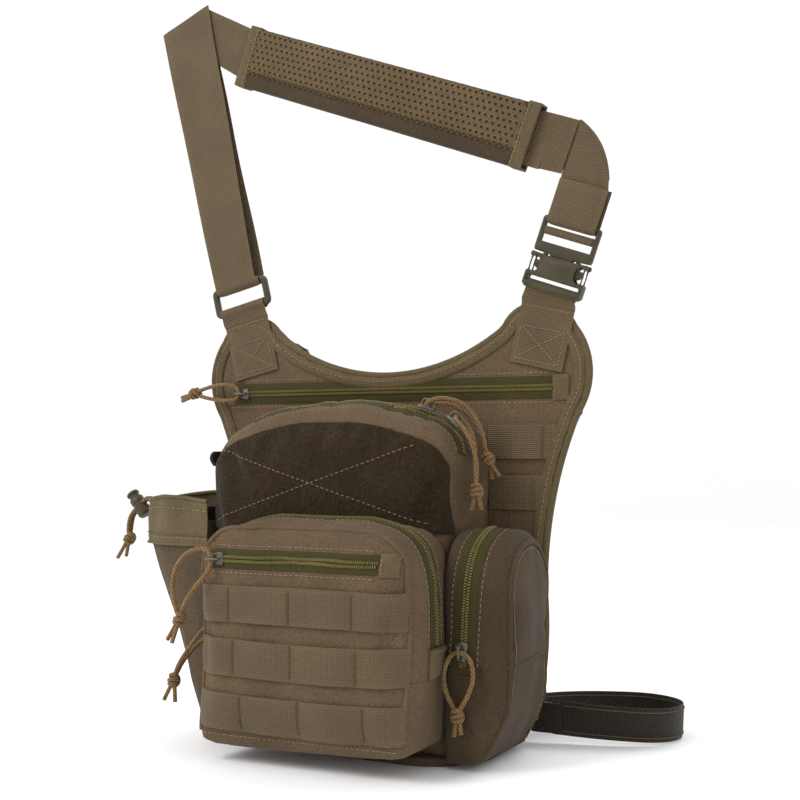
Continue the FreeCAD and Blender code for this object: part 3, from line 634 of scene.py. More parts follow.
def ring_faces(rings, sides, start=0):
    """Quads between the rings of a form whose vertices lie ring after ring."""
    faces = []
    for r in range(start, start + (rings - 1) * sides, sides):
        for k in range(sides):
            m = (k + 1) % sides
            faces.append((r + k, r + m, r + sides + m, r + sides + k))
    return faces


def sew_line(pile, skin, p, q, y=FROM_FRONT, **kw):
    length = math.hypot(q[0] - p[0], q[1] - p[1])
    sew(pile, skin, lambda t: front(lerp(p[0], q[0], t), lerp(p[1], q[1], t), y), length, **kw)


# ---------------------------------------------------------------- cushion forms
def cushion(name, outline, middle, near, far, near_round, far_round, crown, to_space, material, taper=0.0):
    """Closed form: an outline swept from near to far, drawn in by taper on the way, with rounded
    rims and a crowned near face."""
    middle = Vector(middle)
    profile = []
    for k in range(1, 9):
        s = k / 9
        profile.append((s, near_round, near - crown * (1 - s * s)))
    for k in range(7):
        a = math.pi / 2 * k / 6
        profile.append((1.0, near_round * (1 - math.sin(a)), near + near_round * (1 - math.cos(a))))
    steps = max(2, round((far - near) / 7))
    for k in range(1, steps):
        profile.append((1.0, 0.0, lerp(near + near_round, far - far_round, k / steps)))
    for k in range(7):
        a = math.pi / 2 * k / 6
        profile.append((1.0, far_round * (1 - math.cos(a)), far - far_round * (1 - math.sin(a))))
    for k in range(8, 0, -1):
        profile.append((k / 9, far_round, far))
    pile = Pile()
    n = len(outline)
    verts = [to_space(middle.x, middle.y, near - crown)]
    for scale, inset, depth in profile:
        for p in outline:
            reach = p - middle
            drawn_in = inset + taper * max(0.0, (depth - near) / (far - near))
            q = middle + reach * (scale * (1 - drawn_in / reach.length))
            verts.append(to_space(q.x, q.y, depth))
    verts.append(to_space(middle.x, middle.y, far))
    faces = [(0, 1 + (k + 1) % n, 1 + k) for k in range(n)]
    faces += ring_faces(len(profile), n, 1)
    last = 1 + (len(profile) - 1) * n
    faces += [(last + k, last + (k + 1) % n, len(verts) - 1) for k in range(n)]
    pile.add([Vector(v) for v in verts], faces)
    return pile.object(name, material)


def inflate(obj, voxel, pressure, cap, held, frames=20):
    """Cloth under air pressure: swells between the points that held(co) keeps still, and nowhere
    by more than cap."""
    remesh = obj.modifiers.new("remesh", "REMESH")
    remesh.mode = "VOXEL"
    remesh.voxel_size = voxel * MM
    baked(obj)
    rest = [v.co.copy() for v in obj.data.vertices]
    group = obj.vertex_groups.new(name="held")
    group.add([v.index for v in obj.data.vertices if held(v.co / MM)], 1.0, "REPLACE")
    cloth = obj.modifiers.new("cloth", "CLOTH")
    cloth.settings.quality = 5
    cloth.settings.mass = 0.3
    cloth.settings.tension_stiffness = 12
    cloth.settings.compression_stiffness = 12
    cloth.settings.bending_stiffness = 0.6
    cloth.settings.use_pressure = True
    cloth.settings.uniform_pressure_force = pressure
    cloth.settings.effector_weights.gravity = 0.0
    cloth.settings.vertex_group_mass = "held"
    cloth.point_cache.frame_start = 1
    cloth.point_cache.frame_end = frames
    for k in range(1, frames + 1):
        bpy.context.scene.frame_set(k)
    baked(obj)
    bpy.context.scene.frame_set(1)
    for v, start in zip(obj.data.vertices, rest):
        move = v.co - start
        if move.length > cap * MM:
            v.co = start + move.normalized() * cap * MM
    obj.data.shade_smooth()
    return obj


def crumple(obj, height, amount, seed=0.0):
    """Moves the surface in and out by soft folds; height(co) scales them over the piece."""
    normals = [v.normal.copy() for v in obj.data.vertices]
    for v, n in zip(obj.data.vertices, normals):
        p = v.co / MM
        folds = noise.noise(Vector((p.x / 38 + seed, p.y / 30, p.z / 26)))
        creases = 1 - 2 * abs(noise.noise(Vector((p.x / 24, p.y / 18 + seed, p.z / 34))))
        v.co += n * (MM * amount * height(p) * (0.9 * folds + 0.35 * creases))
    obj.data.update()


# ---------------------------------------------------------------- outlines, as the CAD has them
# Middles in X and Z that the outlines of the panel, the pouch and the front pocket face away from.
PANEL_MIDDLE = (0, 130)
POUCH_MIDDLE = (-17, 120)
POCKET_MIDDLE = (0, 88)


def in_front(a, b, depth):
    return (a, depth, b)


def panel_outline():
    right = [(112, 3), (122, 40, 126, 110), (132, 180, 150, 238), (158.5, 268, 147, 299),
             (134, 313, 116, 316), (101, 311, 92, 300)]
    left = []
    for i in range(len(right) - 1, 0, -1):
        left.append((-right[i][0], right[i][1], -right[i - 1][-2], right[i - 1][-1]))
    return traced(right + [(0, 269.5, -92, 300)] + left)


# The pouch's arched top: its centre in X and Z, its radius, and the angles from upright at which
# the corners take over.
ARCH = Vector((-13.0, 33.0))
ARCH_RADIUS = 215.0
ARCH_START, ARCH_END = -21.6, 20.4


def polar(centre, radius, degrees):
    a = math.radians(degrees)
    return Vector((centre[0] + radius * math.sin(a), centre[1] + radius * math.cos(a)))


def corner(side, angle):
    """Centre and radius of the pouch's top corner at a side."""
    s = math.sin(math.radians(abs(angle)))
    radius = (abs(side - ARCH.x) - ARCH_RADIUS * s) / (1 - s)
    return polar(ARCH, ARCH_RADIUS - radius, angle), radius


def pouch_outline():
    low, high = box("main_pouch")
    left_c, left_r = corner(low.x, ARCH_START)
    right_c, right_r = corner(high.x, ARCH_END)
    return traced([
        (low.x, low.z),
        (low.x, left_c.y),
        (*polar(left_c, left_r, (ARCH_START - 90) / 2), *polar(ARCH, ARCH_RADIUS, ARCH_START)),
        (*polar(ARCH, ARCH_RADIUS, 0), *polar(ARCH, ARCH_RADIUS, ARCH_END)),
        (*polar(right_c, right_r, (ARCH_END + 90) / 2), high.x, right_c.y),
        (high.x, low.z),
    ])


def pocket_outline(bottom_round=9.0, top_round=29.0):
    low, high = box("front_pocket")
    s = math.sqrt(0.5)
    t, b = top_round * (1 - s), bottom_round * (1 - s)
    return [
        (low.x, low.z + bottom_round),
        (low.x, high.z - top_round),
        (low.x + t, high.z - t, low.x + top_round, high.z),
        (high.x - top_round, high.z),
        (high.x - t, high.z - t, high.x, high.z - top_round),
        (high.x, low.z + bottom_round),
        (high.x - b, low.z + b, high.x - bottom_round, low.z),
        (low.x + bottom_round, low.z),
        (low.x + b, low.z + b, low.x, low.z + bottom_round),
    ]


def side_arch():
    """The side pocket's outline in Y and Z."""
    low, high = box("side_pocket")
    r = (high.y - low.y) / 2
    middle = (low.y + high.y) / 2
    spring = high.z - r
    return [(low.y, low.z), (low.y, spring), (middle, high.z, high.y, spring), (high.y, low.z)]


def side_reach(z):
    """How far the side pocket stands out at a height: full above, tapering to the base."""
    return lerp(0.5, 1.0, math.sin(math.pi / 2 * min(1.0, max(0.0, z) / 60)))


# ---------------------------------------------------------------- bag body
def make_panel():
    low, high = box("main_compartment")
    outline = panel_outline()
    inset = [p - (p - Vector(PANEL_MIDDLE)).normalized() * 0.6 for p in outline]
    body = cushion("panel_body", inset, PANEL_MIDDLE, low.y, high.y, near_round=3.0, far_round=5.0,
                   crown=1.5, to_space=in_front, material=FABRIC, taper=18.0)
    inflate(body, voxel=4.5, pressure=2.5, cap=3.0, held=lambda p: p.z < 20 or p.y < low.y + 2)
    crumple(body, lambda p: 0.8 if p.y > 50 and p.z < 240 else 0.4, amount=1.6)
    place(body, "bag", "body_fabric", "main_compartment", "back_foam_board")

    pad_low, pad_high = box("back_pad")
    inner = [p - (p - Vector(PANEL_MIDDLE)).normalized() * 20 for p in outline]
    pad = cushion("back_padding", inner, PANEL_MIDDLE, pad_low.y - 2, pad_high.y, near_round=0.5,
                  far_round=3.0, crown=0.0, to_space=in_front, material=BACK_MESH)
    channels = (75, 150, 225)

    def channel(p):
        return max(math.exp(-((p.z - c) / 5) ** 2) for c in channels)

    inflate(pad, voxel=4.5, pressure=3.0, cap=4.0, held=lambda p: p.y < pad_low.y + 1.5 or channel(p) > 0.8)
    for v in pad.data.vertices:
        p = v.co / MM
        if p.y > pad_low.y + 2:
            v.co.y -= 3.0 * MM * channel(p)
    place(pad, "bag", "back_mesh", "back_pad")
    return body


def make_binding(skin):
    """Folded tape round the panel's front edge, with its stitches."""
    pile, thread = Pile(), Pile()
    outline = panel_outline()
    track = Track(outline[8:], PANEL_MIDDLE)
    width = 9.0

    def source(u, v):
        p, out = track.at(u * track.length)
        q = p - out * (4.2 + (width - 1.6) * v)
        return front(q.x, q.y, FROM_PANEL)

    drape(pile, skin, source, int(track.length / 5), 5, 2.0, lift=0.1, edge=0.5)
    edge_y = box("main_compartment")[0].y + 2.4
    steps = int(track.length / 4)
    edge = [track.at(track.length * k / steps) for k in range(steps + 1)]
    pile.tube([Vector((p.x - out.x * 2.2, edge_y, p.y - out.y * 2.2)) for p, out in edge], 2.8, 10)
    tape = place(pile.object("edge_tape", BINDING), "bag", "binding_tape", "edge_binding")
    over = Skin(tape)

    def line(t):
        p, out = track.at(t * track.length)
        q = p - out * 6.8
        return front(q.x, q.y, FROM_PANEL)

    sew(thread, over, line, track.length, pitch=SEAM_PITCH)
    return thread


def make_pouch():
    low, high = box("main_pouch")
    outline = pouch_outline()
    body = cushion("main_pouch_body", outline, POUCH_MIDDLE, low.y, high.y + 3, near_round=12.0,
                   far_round=1.0, crown=2.0, to_space=in_front, material=FABRIC)
    inflate(body, voxel=4.0, pressure=4.0, cap=5.0, held=lambda p: p.y > high.y - 6 or p.z < 12)
    crumple(body, lambda p: max(0.3, min(1.0, (258 - p.z) / 45)), amount=1.8, seed=3.1)
    place(body, "bag", "body_fabric", "main_pouch")
    return body


def make_front_pocket():
    low, high = box("front_pocket")
    outline = traced(pocket_outline())
    body = cushion("front_pocket_body", outline, POCKET_MIDDLE, low.y + 1.0, high.y + 4, near_round=5.0,
                   far_round=1.0, crown=2.5, to_space=in_front, material=FABRIC)
    inflate(body, voxel=4.0, pressure=3.5, cap=3.5, held=lambda p: p.y > high.y - 4 or p.z < 20)
    for v in body.data.vertices:
        p = v.co / MM
        lift = max(0.0, (p.x + 20) / 100) * max(0.0, 1 - p.z / 60) * 5
        v.co.z += lift * MM
    crumple(body, lambda p: 0.35 + 0.65 * max(0.0, 1 - abs(p.z - 60) / 90), amount=1.6, seed=7.7)
    place(body, "bag", "body_fabric", "front_pocket")
    return body


def make_side_pocket():
    low, high = box("side_pocket")

    def to_space(a, b, depth):
        return (low.x + (depth - low.x) * side_reach(b), a, b)

    outline = traced(side_arch())
    middle = ((low.y + high.y) / 2, 80)
    # The side pocket takes the shaded copy of the coyote nylon: painted shade on its side face.
    pile = cushion("side_pocket_body", outline, middle, low.x - 1, high.x, near_round=1.0, far_round=9.0,
                   crown=-2.0, to_space=to_space, material=FABRIC_SHADED)
    inflate(pile, voxel=4.0, pressure=4.0, cap=4.0, held=lambda p: p.x < low.x + 5 or p.z < 12)
    for v in pile.data.vertices:
        p = v.co / MM
        if p.x > 100:
            fold = math.sin(p.y / 7.5 + p.z / 60) * math.exp(-((p.z - 85) / 55) ** 2)
            v.co.x += 0.6 * MM * fold * (p.x - 100) / 28
    crumple(pile, lambda p: 1.0, amount=1.5, seed=11.0)
    place(pile, "bag", "body_fabric", "side_pocket")
    return pile


def make_base():
    low, high = box("base_panel")
    low, high = low + Vector((12, 20, 0)), high - Vector((13, 3, 0))
    r = 46.0
    c = r * (1 - math.sqrt(0.5))
    outline = traced([
        (high.x, high.y), (low.x, high.y), (low.x, low.y + r),
        (low.x + c, low.y + c, low.x + r, low.y), (high.x - r, low.y),
        (high.x - c, low.y + c, high.x, low.y + r), (high.x, high.y - 1),
    ])
    # The base takes the darker copy of the coyote nylon: painted shade of the underside.
    base = cushion("base", outline, (0, 14), low.z, high.z + 3, near_round=1.2, far_round=2.0, crown=0.0,
                   to_space=lambda a, b, depth: (a, b, depth), material=BASE_SHADED)
    place(base, "bag", "base_fabric", "base_panel")


def ridge(skin, track, inset, radius, y, end=1.0):
    """Folded seam allowance standing along a pocket's front edge."""
    pile = Pile()
    n = int(track.length * end / 3)
    points = []
    for k in range(n + 1):
        p, out = track.at(track.length * end * k / n)
        q = p - out * inset
        points.append(skin.hit(*front(q.x, q.y, y))[0])
    pile.tube(points, lambda t: radius * (1 + 0.12 * noise.noise(Vector((t * 40, 0, 0)))), 8)
    return pile


# ---------------------------------------------------------------- zips
def zip_along(tape, coil, thread, skin, source, length, width=16.0, chain=4.6, pitch=1.5):
    """Tape, two rows of coil teeth and the stitches that hold the tape. source(t, w) is a cast at
    a share t of the length and w millimetres across."""
    steps = int(length / 4)
    drape(tape, skin, lambda u, v: source(u, (v - 0.5) * width), steps, 6, 1.0, lift=0.0)
    for k in range(int(length / pitch)):
        t = (k + 0.5) * pitch / length
        for side in (-1, 1):
            shift = t + side * 0.25 * pitch / length
            a, n = skin.hit(*source(shift, side * chain / 2))
            b, _ = skin.hit(*source(shift, side * 0.3))
            across = (b - a).normalized()
            along = n.cross(across).normalized()
            middle = (a + b) / 2 + n * 1.4
            coil.block(middle, (across, along, n), ((b - a).length / 2, 0.33 * pitch, 0.75), 0.4)
    for side in (-1, 1):
        sew(thread, skin, lambda t: source(t, side * (width / 2 + 2.4)), length, pitch=SEAM_PITCH)


def finish_zip(name, tape, coil):
    place(tape.object(name + "_tape", TAPE), "bag", "zip_tape", name)
    place(coil.object(name + "_teeth", COIL, smooth=False), "bag", "zip_tape")


def straight_zip(name, skin, thread, y, width, x_end):
    low, high = box(name)
    z = (low.z + high.z) / 2
    length = x_end - low.x
    tape, coil = Pile(), Pile()
    zip_along(tape, coil, thread, skin, lambda t, w: front(low.x + t * length, z + w, y), length, width)
    finish_zip(name, tape, coil)


def curved_zip(name, skin, thread, source, length, pitch):
    tape, coil = Pile(), Pile()
    zip_along(tape, coil, thread, skin, source, length, pitch=pitch)
    finish_zip(name, tape, coil)


def radial(track, y_of, reach=30.0):
    """Casts inward onto a pocket's side wall from outside its outline in X and Z."""
    def source(t, w):
        p, out = track.at(t * track.length)
        q = p + out * reach
        return (q.x, y_of + w, q.y), (-out.x, 0, -out.y)
    return source


def arch_track():
    right_c, right_r = corner(box("main_pouch")[1].x, ARCH_END)
    half = (ARCH_START + 1.5 + ARCH_END) / 2
    turn = (ARCH_END + 84) / 2
    return Track(traced([
        polar(ARCH, ARCH_RADIUS, ARCH_START + 1.5),
        (*polar(ARCH, ARCH_RADIUS, half), *polar(ARCH, ARCH_RADIUS, ARCH_END)),
        (*polar(right_c, right_r, turn), *polar(right_c, right_r, 84)),
    ]), (ARCH.x, 120))


def gusset_track():
    outline = pocket_outline()
    foot = box("gusset_zip")[0].z
    points = [(outline[0][0], foot)] + outline[1:5] + [(outline[5][0], foot)]
    return Track(traced(points), POCKET_MIDDLE)


def side_zip_source():
    """Up the side pocket's front gusset and over its top, at the zip's place in X."""
    low, high = box("side_zip")
    x = (low.x + high.x) / 2
    arch = side_arch()
    r = (arch[-1][0] - arch[0][0]) / 2
    middle = (box("side_pocket")[0].y + box("side_pocket")[1].y) / 2
    spring = arch[1][1]
    line = [(arch[0][0], low.z), (arch[0][0], spring)]
    s = r * math.sqrt(0.5)
    line.append((middle - s, spring + s, middle, spring + r))
    track = Track(traced(line), (middle, 60))

    def source(t, w):
        p, out = track.at(t * track.length)
        q = p + out * 30
        lean = 6 * t
        return (x + w + lean, q.x, q.y), (0, -out.x, -out.y)
    return source, track.length


# ---------------------------------------------------------------- sliders
def frame_at(origin, along, outward):
    along, outward = Vector(along).normalized(), Vector(outward).normalized()
    across = outward.cross(along)
    origin = Vector(origin)
    return lambda x, y, z: origin + along * x + across * y + outward * z


def make_slider(name, node, body, origin, along, outward):
    """Tapered shoe, top plate with flared end, and the bridge that the cord passes under."""
    at = frame_at(origin, along, outward)
    pile = Pile()
    plan = [(-6, 2.4), (-4.5, 3.2), (-1, 3.4), (2, 4.3), (4.5, 4.5), (6, 3.6), (6.2, 0)]
    plan += [(x, -y) for x, y in reversed(plan[:-1])]
    rings = []
    for z, grow in ((0.0, 0.9), (0.5, 1.0), (1.7, 1.0), (2.4, 0.86)):
        rings.append([at(x * grow, y * grow, z) for x, y in plan])
    n = len(plan)
    faces = [tuple(range(n - 1, -1, -1)), tuple(3 * n + k for k in range(n))] + ring_faces(4, n)
    pile.add([p for ring in rings for p in ring], faces)
    arch = [(-4.5, 2.0), (-4.6, 4.5), (-3.9, 6.3), (-2, 7.0), (2, 7.0), (3.9, 6.3), (4.6, 4.5), (4.5, 2.0)]
    pile.tube([at(x, 0, z) for x, z in arch], 0.85, 8)
    pile.tube([at(x, y, 2.4) for x, y in ((-3, 2.4), (0, 2.9), (4, 3.4))], 0.5, 6)
    pile.tube([at(x, -y, 2.4) for x, y in ((-3, 2.4), (0, 2.9), (4, 3.4))], 0.5, 6)
    place(pile.object(name, METAL), body, "gunmetal", node)


def make_sliders():
    gap = 2.5                # from a pocket's face out to the foot of its slider
    main, face, gusset, side = (sum(box(word + "_slider"), Vector()) / 2
                                for word in ("main", "front", "gusset", "side"))
    panel_y = box("main_compartment")[0].y
    pocket_y = box("front_pocket")[0].y
    pocket_x = box("front_pocket")[0].x
    side_y = box("side_pocket")[0].y
    for word, origin, along, outward in (
            ("main", (main.x, panel_y - gap, main.z), (1, 0, 0), (0, -1, 0)),
            ("front", (face.x, pocket_y - gap, face.z), (1, 0, 0), (0, -1, 0)),
            ("gusset", (pocket_x - gap, gusset.y, gusset.z), (0, 0, 1), (-1, 0, 0)),
            ("side", (side.x, side_y - gap, side.z), (0, 0, 1), (0, -1, 0))):
        name = word + "_zip_slider"
        make_slider(name, word + "_slider", name, origin, along, outward)
    y = (box("arch_zip")[0].y + box("arch_zip")[1].y) / 2
    corner_c, corner_r = corner(box("main_pouch")[1].x, ARCH_END)
    for word, centre, radius, angle, way in (("left", ARCH, ARCH_RADIUS, 17.5, -1),
                                             ("right", corner_c, corner_r, 40.0, 1)):
        p = polar(centre, radius + gap, angle)
        a = math.radians(angle)
        name = "arch_zip_slider_" + word
        make_slider(name, "arch_slider_" + word, name, (p.x, y, p.y),
                    (way * math.cos(a), 0, -way * math.sin(a)), (math.sin(a), 0, math.cos(a)))


# ---------------------------------------------------------------- cords
# For each pull the cord's route, as part.py has it, its knot's middle and the ends of its tails.
PULLS = {
    "main_pull": (
        [(-164, 35, 258.5), (-155, 34, 261), (-141, 34, 264), (-127, 37.7, 262),
         (-127, 37.7, 251), (-141, 35, 250.8), (-155, 35, 253), (-164, 35, 255.5)],
        (-167, 35, 257), [(-181, 37, 254), (-178, 33, 251)],
    ),
    "front_pull": (
        [(-89, -91.5, 101), (-92, -92, 110), (-92, -94, 124), (-86, -94, 138), (-75, -92, 146),
         (-63, -89.3, 145), (-63, -89.3, 133), (-69, -92, 125), (-77, -93, 116), (-83, -92, 108),
         (-86.5, -91, 101)],
        (-88, -91, 97), [(-98, -91, 82.5), (-92, -94, 81)],
    ),
    "gusset_pull": (
        [(-110.5, -64, 54), (-109, -59, 62), (-104, -51, 72), (-95, -42, 82), (-87.3, -40, 92),
         (-87.3, -52, 92), (-94, -58, 84), (-101, -62, 73), (-107, -66, 62), (-109.5, -67.5, 54)],
        (-111, -67, 50), [(-117, -70, 36), (-108, -69, 35)],
    ),
    "arch_pull_left": (
        [(92, 17, 210), (90, 18, 222), (84, 17, 236), (75, 13, 246), (63, 3, 249),
         (53.7, -1, 244.8), (53.7, 11, 244.8), (65, 17, 245), (76, 22, 238), (85, 24, 225),
         (91, 21, 211)],
        (93, 18, 206), [(101, 20, 194), (94, 24, 192)],
    ),
    "arch_pull_right": (
        [(91, 2, 189), (92.5, 1, 200), (91, -1, 214), (85, -3, 227), (75.3, -1, 234.7),
         (75.3, 11, 234.7), (84, 10, 226), (88.5, 7, 213), (89, 5, 200), (90.5, 4.5, 189)],
        (91, 3, 184.5), [(88, 2, 171), (95, 3, 171.5)],
    ),
    "side_pull": (
        [(94, -40.5, 44), (88, -41, 54), (85.8, -40, 67), (91, -37.9, 80), (103, -37.9, 80),
         (108.5, -40, 67), (105, -41, 54), (98.5, -40.5, 44)],
        (96, -40, 39), [(94, -40, 25.5), (98.5, -39, 27)],
    ),
}
# The body that each pull rides, and the last point of its route before the slider's bridge.
PULL_BODIES = {
    "main_pull": ("main_zip_slider", 3), "front_pull": ("front_zip_slider", 5),
    "gusset_pull": ("gusset_zip_slider", 4), "arch_pull_left": ("arch_zip_cord_left", 5),
    "arch_pull_right": ("arch_zip_cord_right", 4), "side_pull": ("side_zip_slider", 3),
}
# The drawcord's two strands from the eyelets to the knot, as part.py has them.
DRAWCORD_STRANDS = [
    [(-181.2, -1.2, 170.5), (-184.5, -0.2, 175.3), (-189.0, 0.3, 174.3), (-202.0, 0.3, 162.9),
     (-204.5, -0.4, 156.0), (-205.0, -0.6, 147.5)],
    [(-181.2, 3.2, 170.5), (-184.5, 3.5, 175.3), (-189.0, 3.7, 174.3), (-202.0, 3.7, 162.9),
     (-204.0, 3.2, 156.0), (-204.5, 2.4, 147.5)],
]
DRAWCORD_KNOT = (-205.0, 1.0, 143.0)
DRAWCORD_TAILS = [(-216.0, 0.0, 127.0), (-209.0, 2.0, 128.5)]


def spline_length(points):
    """Length of the quadratic spline that the points control, in millimetres."""
    line = [Vector(points[0])]
    middles = [Vector(points[0])]
    middles += [(Vector(a) + Vector(b)) / 2 for a, b in zip(points[1:-2], points[2:-1])]
    middles.append(Vector(points[-1]))
    for a, control, b in zip(middles, points[1:-1], middles[1:]):
        for k in range(1, 9):
            t = k / 8
            line.append(a * (1 - t) ** 2 + Vector(control) * 2 * t * (1 - t) + b * t * t)
    return sum((q - p).length for p, q in zip(line, line[1:]))


def cord_curve(name, points):
    data = bpy.data.curves.new(name, "CURVE")
    data.dimensions = "3D"
    spline = data.splines.new("NURBS")
    spline.points.add(len(points) - 1)
    for knot, p in zip(spline.points, points):
        knot.co = (*(Vector(p) * MM), 1)
    spline.order_u = 3
    spline.use_endpoint_u = True
    spline.resolution_u = 6
    data.bevel_depth = CORD / 2 * MM
    data.bevel_resolution = 3
    data.use_fill_caps = True
    data.materials.append(CORDAGE)
    made = bpy.data.objects.new(name, data)
    bpy.context.scene.collection.objects.link(made)
    return made


def make_knot(name, centre, axis, body):
    """Overhand knot: three tight turns of cord round the strands, and one across them."""
    pile = Pile()
    centre, axis = Vector(centre), Vector(axis).normalized()
    side = axis.orthogonal().normalized()
    other = axis.cross(side)
    for k, rise in enumerate((-2.4, 0.1, 2.5)):
        swing = 0.5 * (k - 1)
        ring = []
        for m in range(16):
            a = 2 * math.pi * m / 16
            r = 3.1 if k == 1 else 2.6
            ring.append(centre + side * (r * math.cos(a)) + other * (r * 1.1 * math.sin(a))
                        + axis * (rise + (1.0 + swing) * math.cos(a + k)))
        pile.tube(ring, 1.45, 8, closed=True)
    cross = [centre + axis * (4.2 * math.cos(a)) + side * (3.9 * math.sin(a)) + other * 1.2 * math.sin(2 * a)
             for a in (math.pi * m / 10 - 0.2 for m in range(12))]
    pile.tube(cross, 1.4, 8)
    return place(pile.object(name, CORDAGE), body, "cord")


def make_pull(name):
    route, knot_at, tails = PULLS[name]
    body, k = PULL_BODIES[name]
    bridge = (Vector(route[k]) + Vector(route[k + 1])) / 2
    first = [tuple(bridge)] + list(reversed(route[:k + 1]))
    second = [tuple(bridge)] + route[k + 1:]
    axis = Vector(knot_at) - (Vector(tails[0]) + Vector(tails[1])) / 2
    knot = make_knot(name + "_knot", knot_at, axis, body)
    for side, strand, tail in (("a", first, tails[0]), ("b", second, tails[1])):
        halfway = tuple((Vector(strand[-1]) + Vector(knot_at)) / 2)
        points = strand + [knot_at if side == "a" else halfway, tail]
        piece = cord_curve(f"{name}_{side}", points)
        place(piece, body, "cord", name)
        round(spline_length(points) * MM, 3)


def make_drawcord():
    axis = Vector(DRAWCORD_KNOT) - Vector(DRAWCORD_TAILS[0])
    knot = make_knot("drawcord_knot", DRAWCORD_KNOT, axis, "bag")
    for side, strand, tail in zip("ab", DRAWCORD_STRANDS, DRAWCORD_TAILS):
        points = strand + [DRAWCORD_KNOT, tail]
        piece = cord_curve("drawcord_" + side, points)
        place(piece, "bag", "cord", "drawcord")
        tuple(Vector(strand[0]) * MM)
        round(spline_length(points) * MM, 3)


def make_cords():
    for name in PULLS:
        make_pull(name)
    make_drawcord()


# ---------------------------------------------------------------- bottle pouch
BOTTLE_FRONT = 22.0      # from the bottle pouch's middle line to its front edge


def bottle_point(z, share, grow=0.0):
    """On the pouch's round wall at a height, from its front edge (0) to its rear edge (1)."""
    low, high = box("bottle_pouch")
    k = min((z - low.z) / (high.z - low.z), 1.0)
    out = 8 + 59 * k + grow
    half = (BOTTLE_FRONT if share < 0.5 else 30 + 12 * k) + grow
    middle = (low.y + high.y) / 2
    a = lerp(-math.pi / 2, math.pi / 2, share)
    return Vector((high.x + 4 - out * math.cos(a) ** 0.85, middle + half * math.sin(a), z))


def make_bottle_pouch():
    """Round pouch with soft folds, its gathered collar, backing, a near-black lining that paints the shade
    inside it, and eyelets.
    """
    low, high = box("bottle_pouch")
    collar_top = box("bottle_collar")[1].z

    def folded(z, share):
        swell = math.sin(math.pi * share) ** 0.5
        folds = noise.noise(Vector((share * 5.5, z / 60, 2.0))) * 2.6
        folds += 1.6 * noise.noise(Vector((share * 11 + z / 90, z / 120, 5.0)))
        return folds * swell * min(1.0, (z - low.z) / 40)

    def wall(z, share, thick):
        return bottle_point(z, share, folded(z, share) - thick)

    def rows(thick):
        return [[wall(lerp(low.z + (2 if thick else 0), high.z, i / 36), j / 40, thick) for j in range(41)]
                for i in range(37)]
    pile = Pile()
    pile.sheet(rows(0.0), rows(1.6))
    floor = [[bottle_point(low.z + 1, j / 16, -1.0).lerp(Vector((high.x - 1, 0, low.z + 1)), i / 6)
              for j in range(17)] for i in range(6)]
    pile.sheet(floor, [[p + Vector((0, 0, 1.5)) for p in row] for row in floor])
    # The pouch's wall takes the darker copy of the coyote nylon: painted shade.
    place(pile.object("bottle_pouch_body", FABRIC_LEFT_SHADED), "bag", "body_fabric", "bottle_pouch")

    def ruffle(v, share, thick):
        gather = 0.4 + 0.6 * v
        z = lerp(high.z - 5, collar_top + 2.5 * math.sin(share * 9) * v, v) + 3.0 * v * share
        wave = math.sin(share * 34 + 2 * v) * 1.2 + noise.noise(Vector((share * 9, v * 1.5, 9.0))) * 3.2
        grow = 1.2 + wave * gather * 0.8 - 1.8 * v - thick
        return bottle_point(high.z, share, grow) + Vector((0, 0, z - high.z))

    def collar(thick):
        return [[ruffle(i / 12, j / 90, thick) for j in range(91)] for i in range(13)]
    cloth = Pile()
    cloth.sheet(collar(0.0), collar(1.0))
    rim = [ruffle(1.0, j / 90, 0.5) for j in range(91)]
    cloth.tube(rim, 1.6, 8)
    place(cloth.object("bottle_collar_cloth", NYLON), "bag", "collar_nylon", "bottle_collar")
    hem = Pile()
    hem.tube([ruffle(0.24, j / 90, -0.4) for j in range(91)], 0.55, 6)
    hem.tube([ruffle(0.02, j / 90, -0.2) for j in range(91)], 1.1, 6)
    place(hem.object("collar_hem_folds", NYLON), "bag", "collar_nylon")
    thread = Pile()
    for level in (0.78, 0.16):
        for k in range(0, 88, 2):
            a, b = ruffle(level, k / 90, -0.3), ruffle(level, (k + 1.2) / 90, -0.3)
            thread.stitch(a, b, Vector((-1, 0, 0)), 0.35)
    middle = (low.y + high.y) / 2
    # The lining sheet inside the pouch is near black: painted shade of the pouch's inside.
    for name, x, inset, top, material in (
            ("bottle_pouch_back", high.x, 0.5, high.z + 14, FABRIC),
            ("bottle_pouch_lining", high.x - 1.6, 4.0, collar_top - 4, LINING_AND_SHADE)):
        backing = Pile()

        def back_point(u, v):
            z = lerp(low.z + 2, top, u)
            rear = 30 + 12 * min(1.0, (z - low.z) / (high.z - low.z)) - inset
            return Vector((x, middle + lerp(inset - BOTTLE_FRONT, rear, v), z))
        near = grid(12, 8, back_point)
        backing.sheet(near, [[p - Vector((1, 0, 0)) for p in row] for row in near])
        place(backing.object(name, material), "bag", "body_fabric")
    eyelet = Pile()
    for strand in DRAWCORD_STRANDS:
        start = Vector(strand[0])
        ring = [start + Vector((0.6, 2.3 * math.cos(a), 2.3 * math.sin(a)))
                for a in (2 * math.pi * k / 14 for k in range(14))]
        eyelet.tube(ring, 0.7, 6, closed=True)
    place(eyelet.object("drawcord_eyelets", METAL), "bag", "gunmetal")
    return thread


# The cord lock's middle, and the way from its button to its far end.
LOCK_AT = Vector((-195.0, 2.0, 169.0))
LOCK_AXIS = Vector((0.66, 0.0, -0.751))


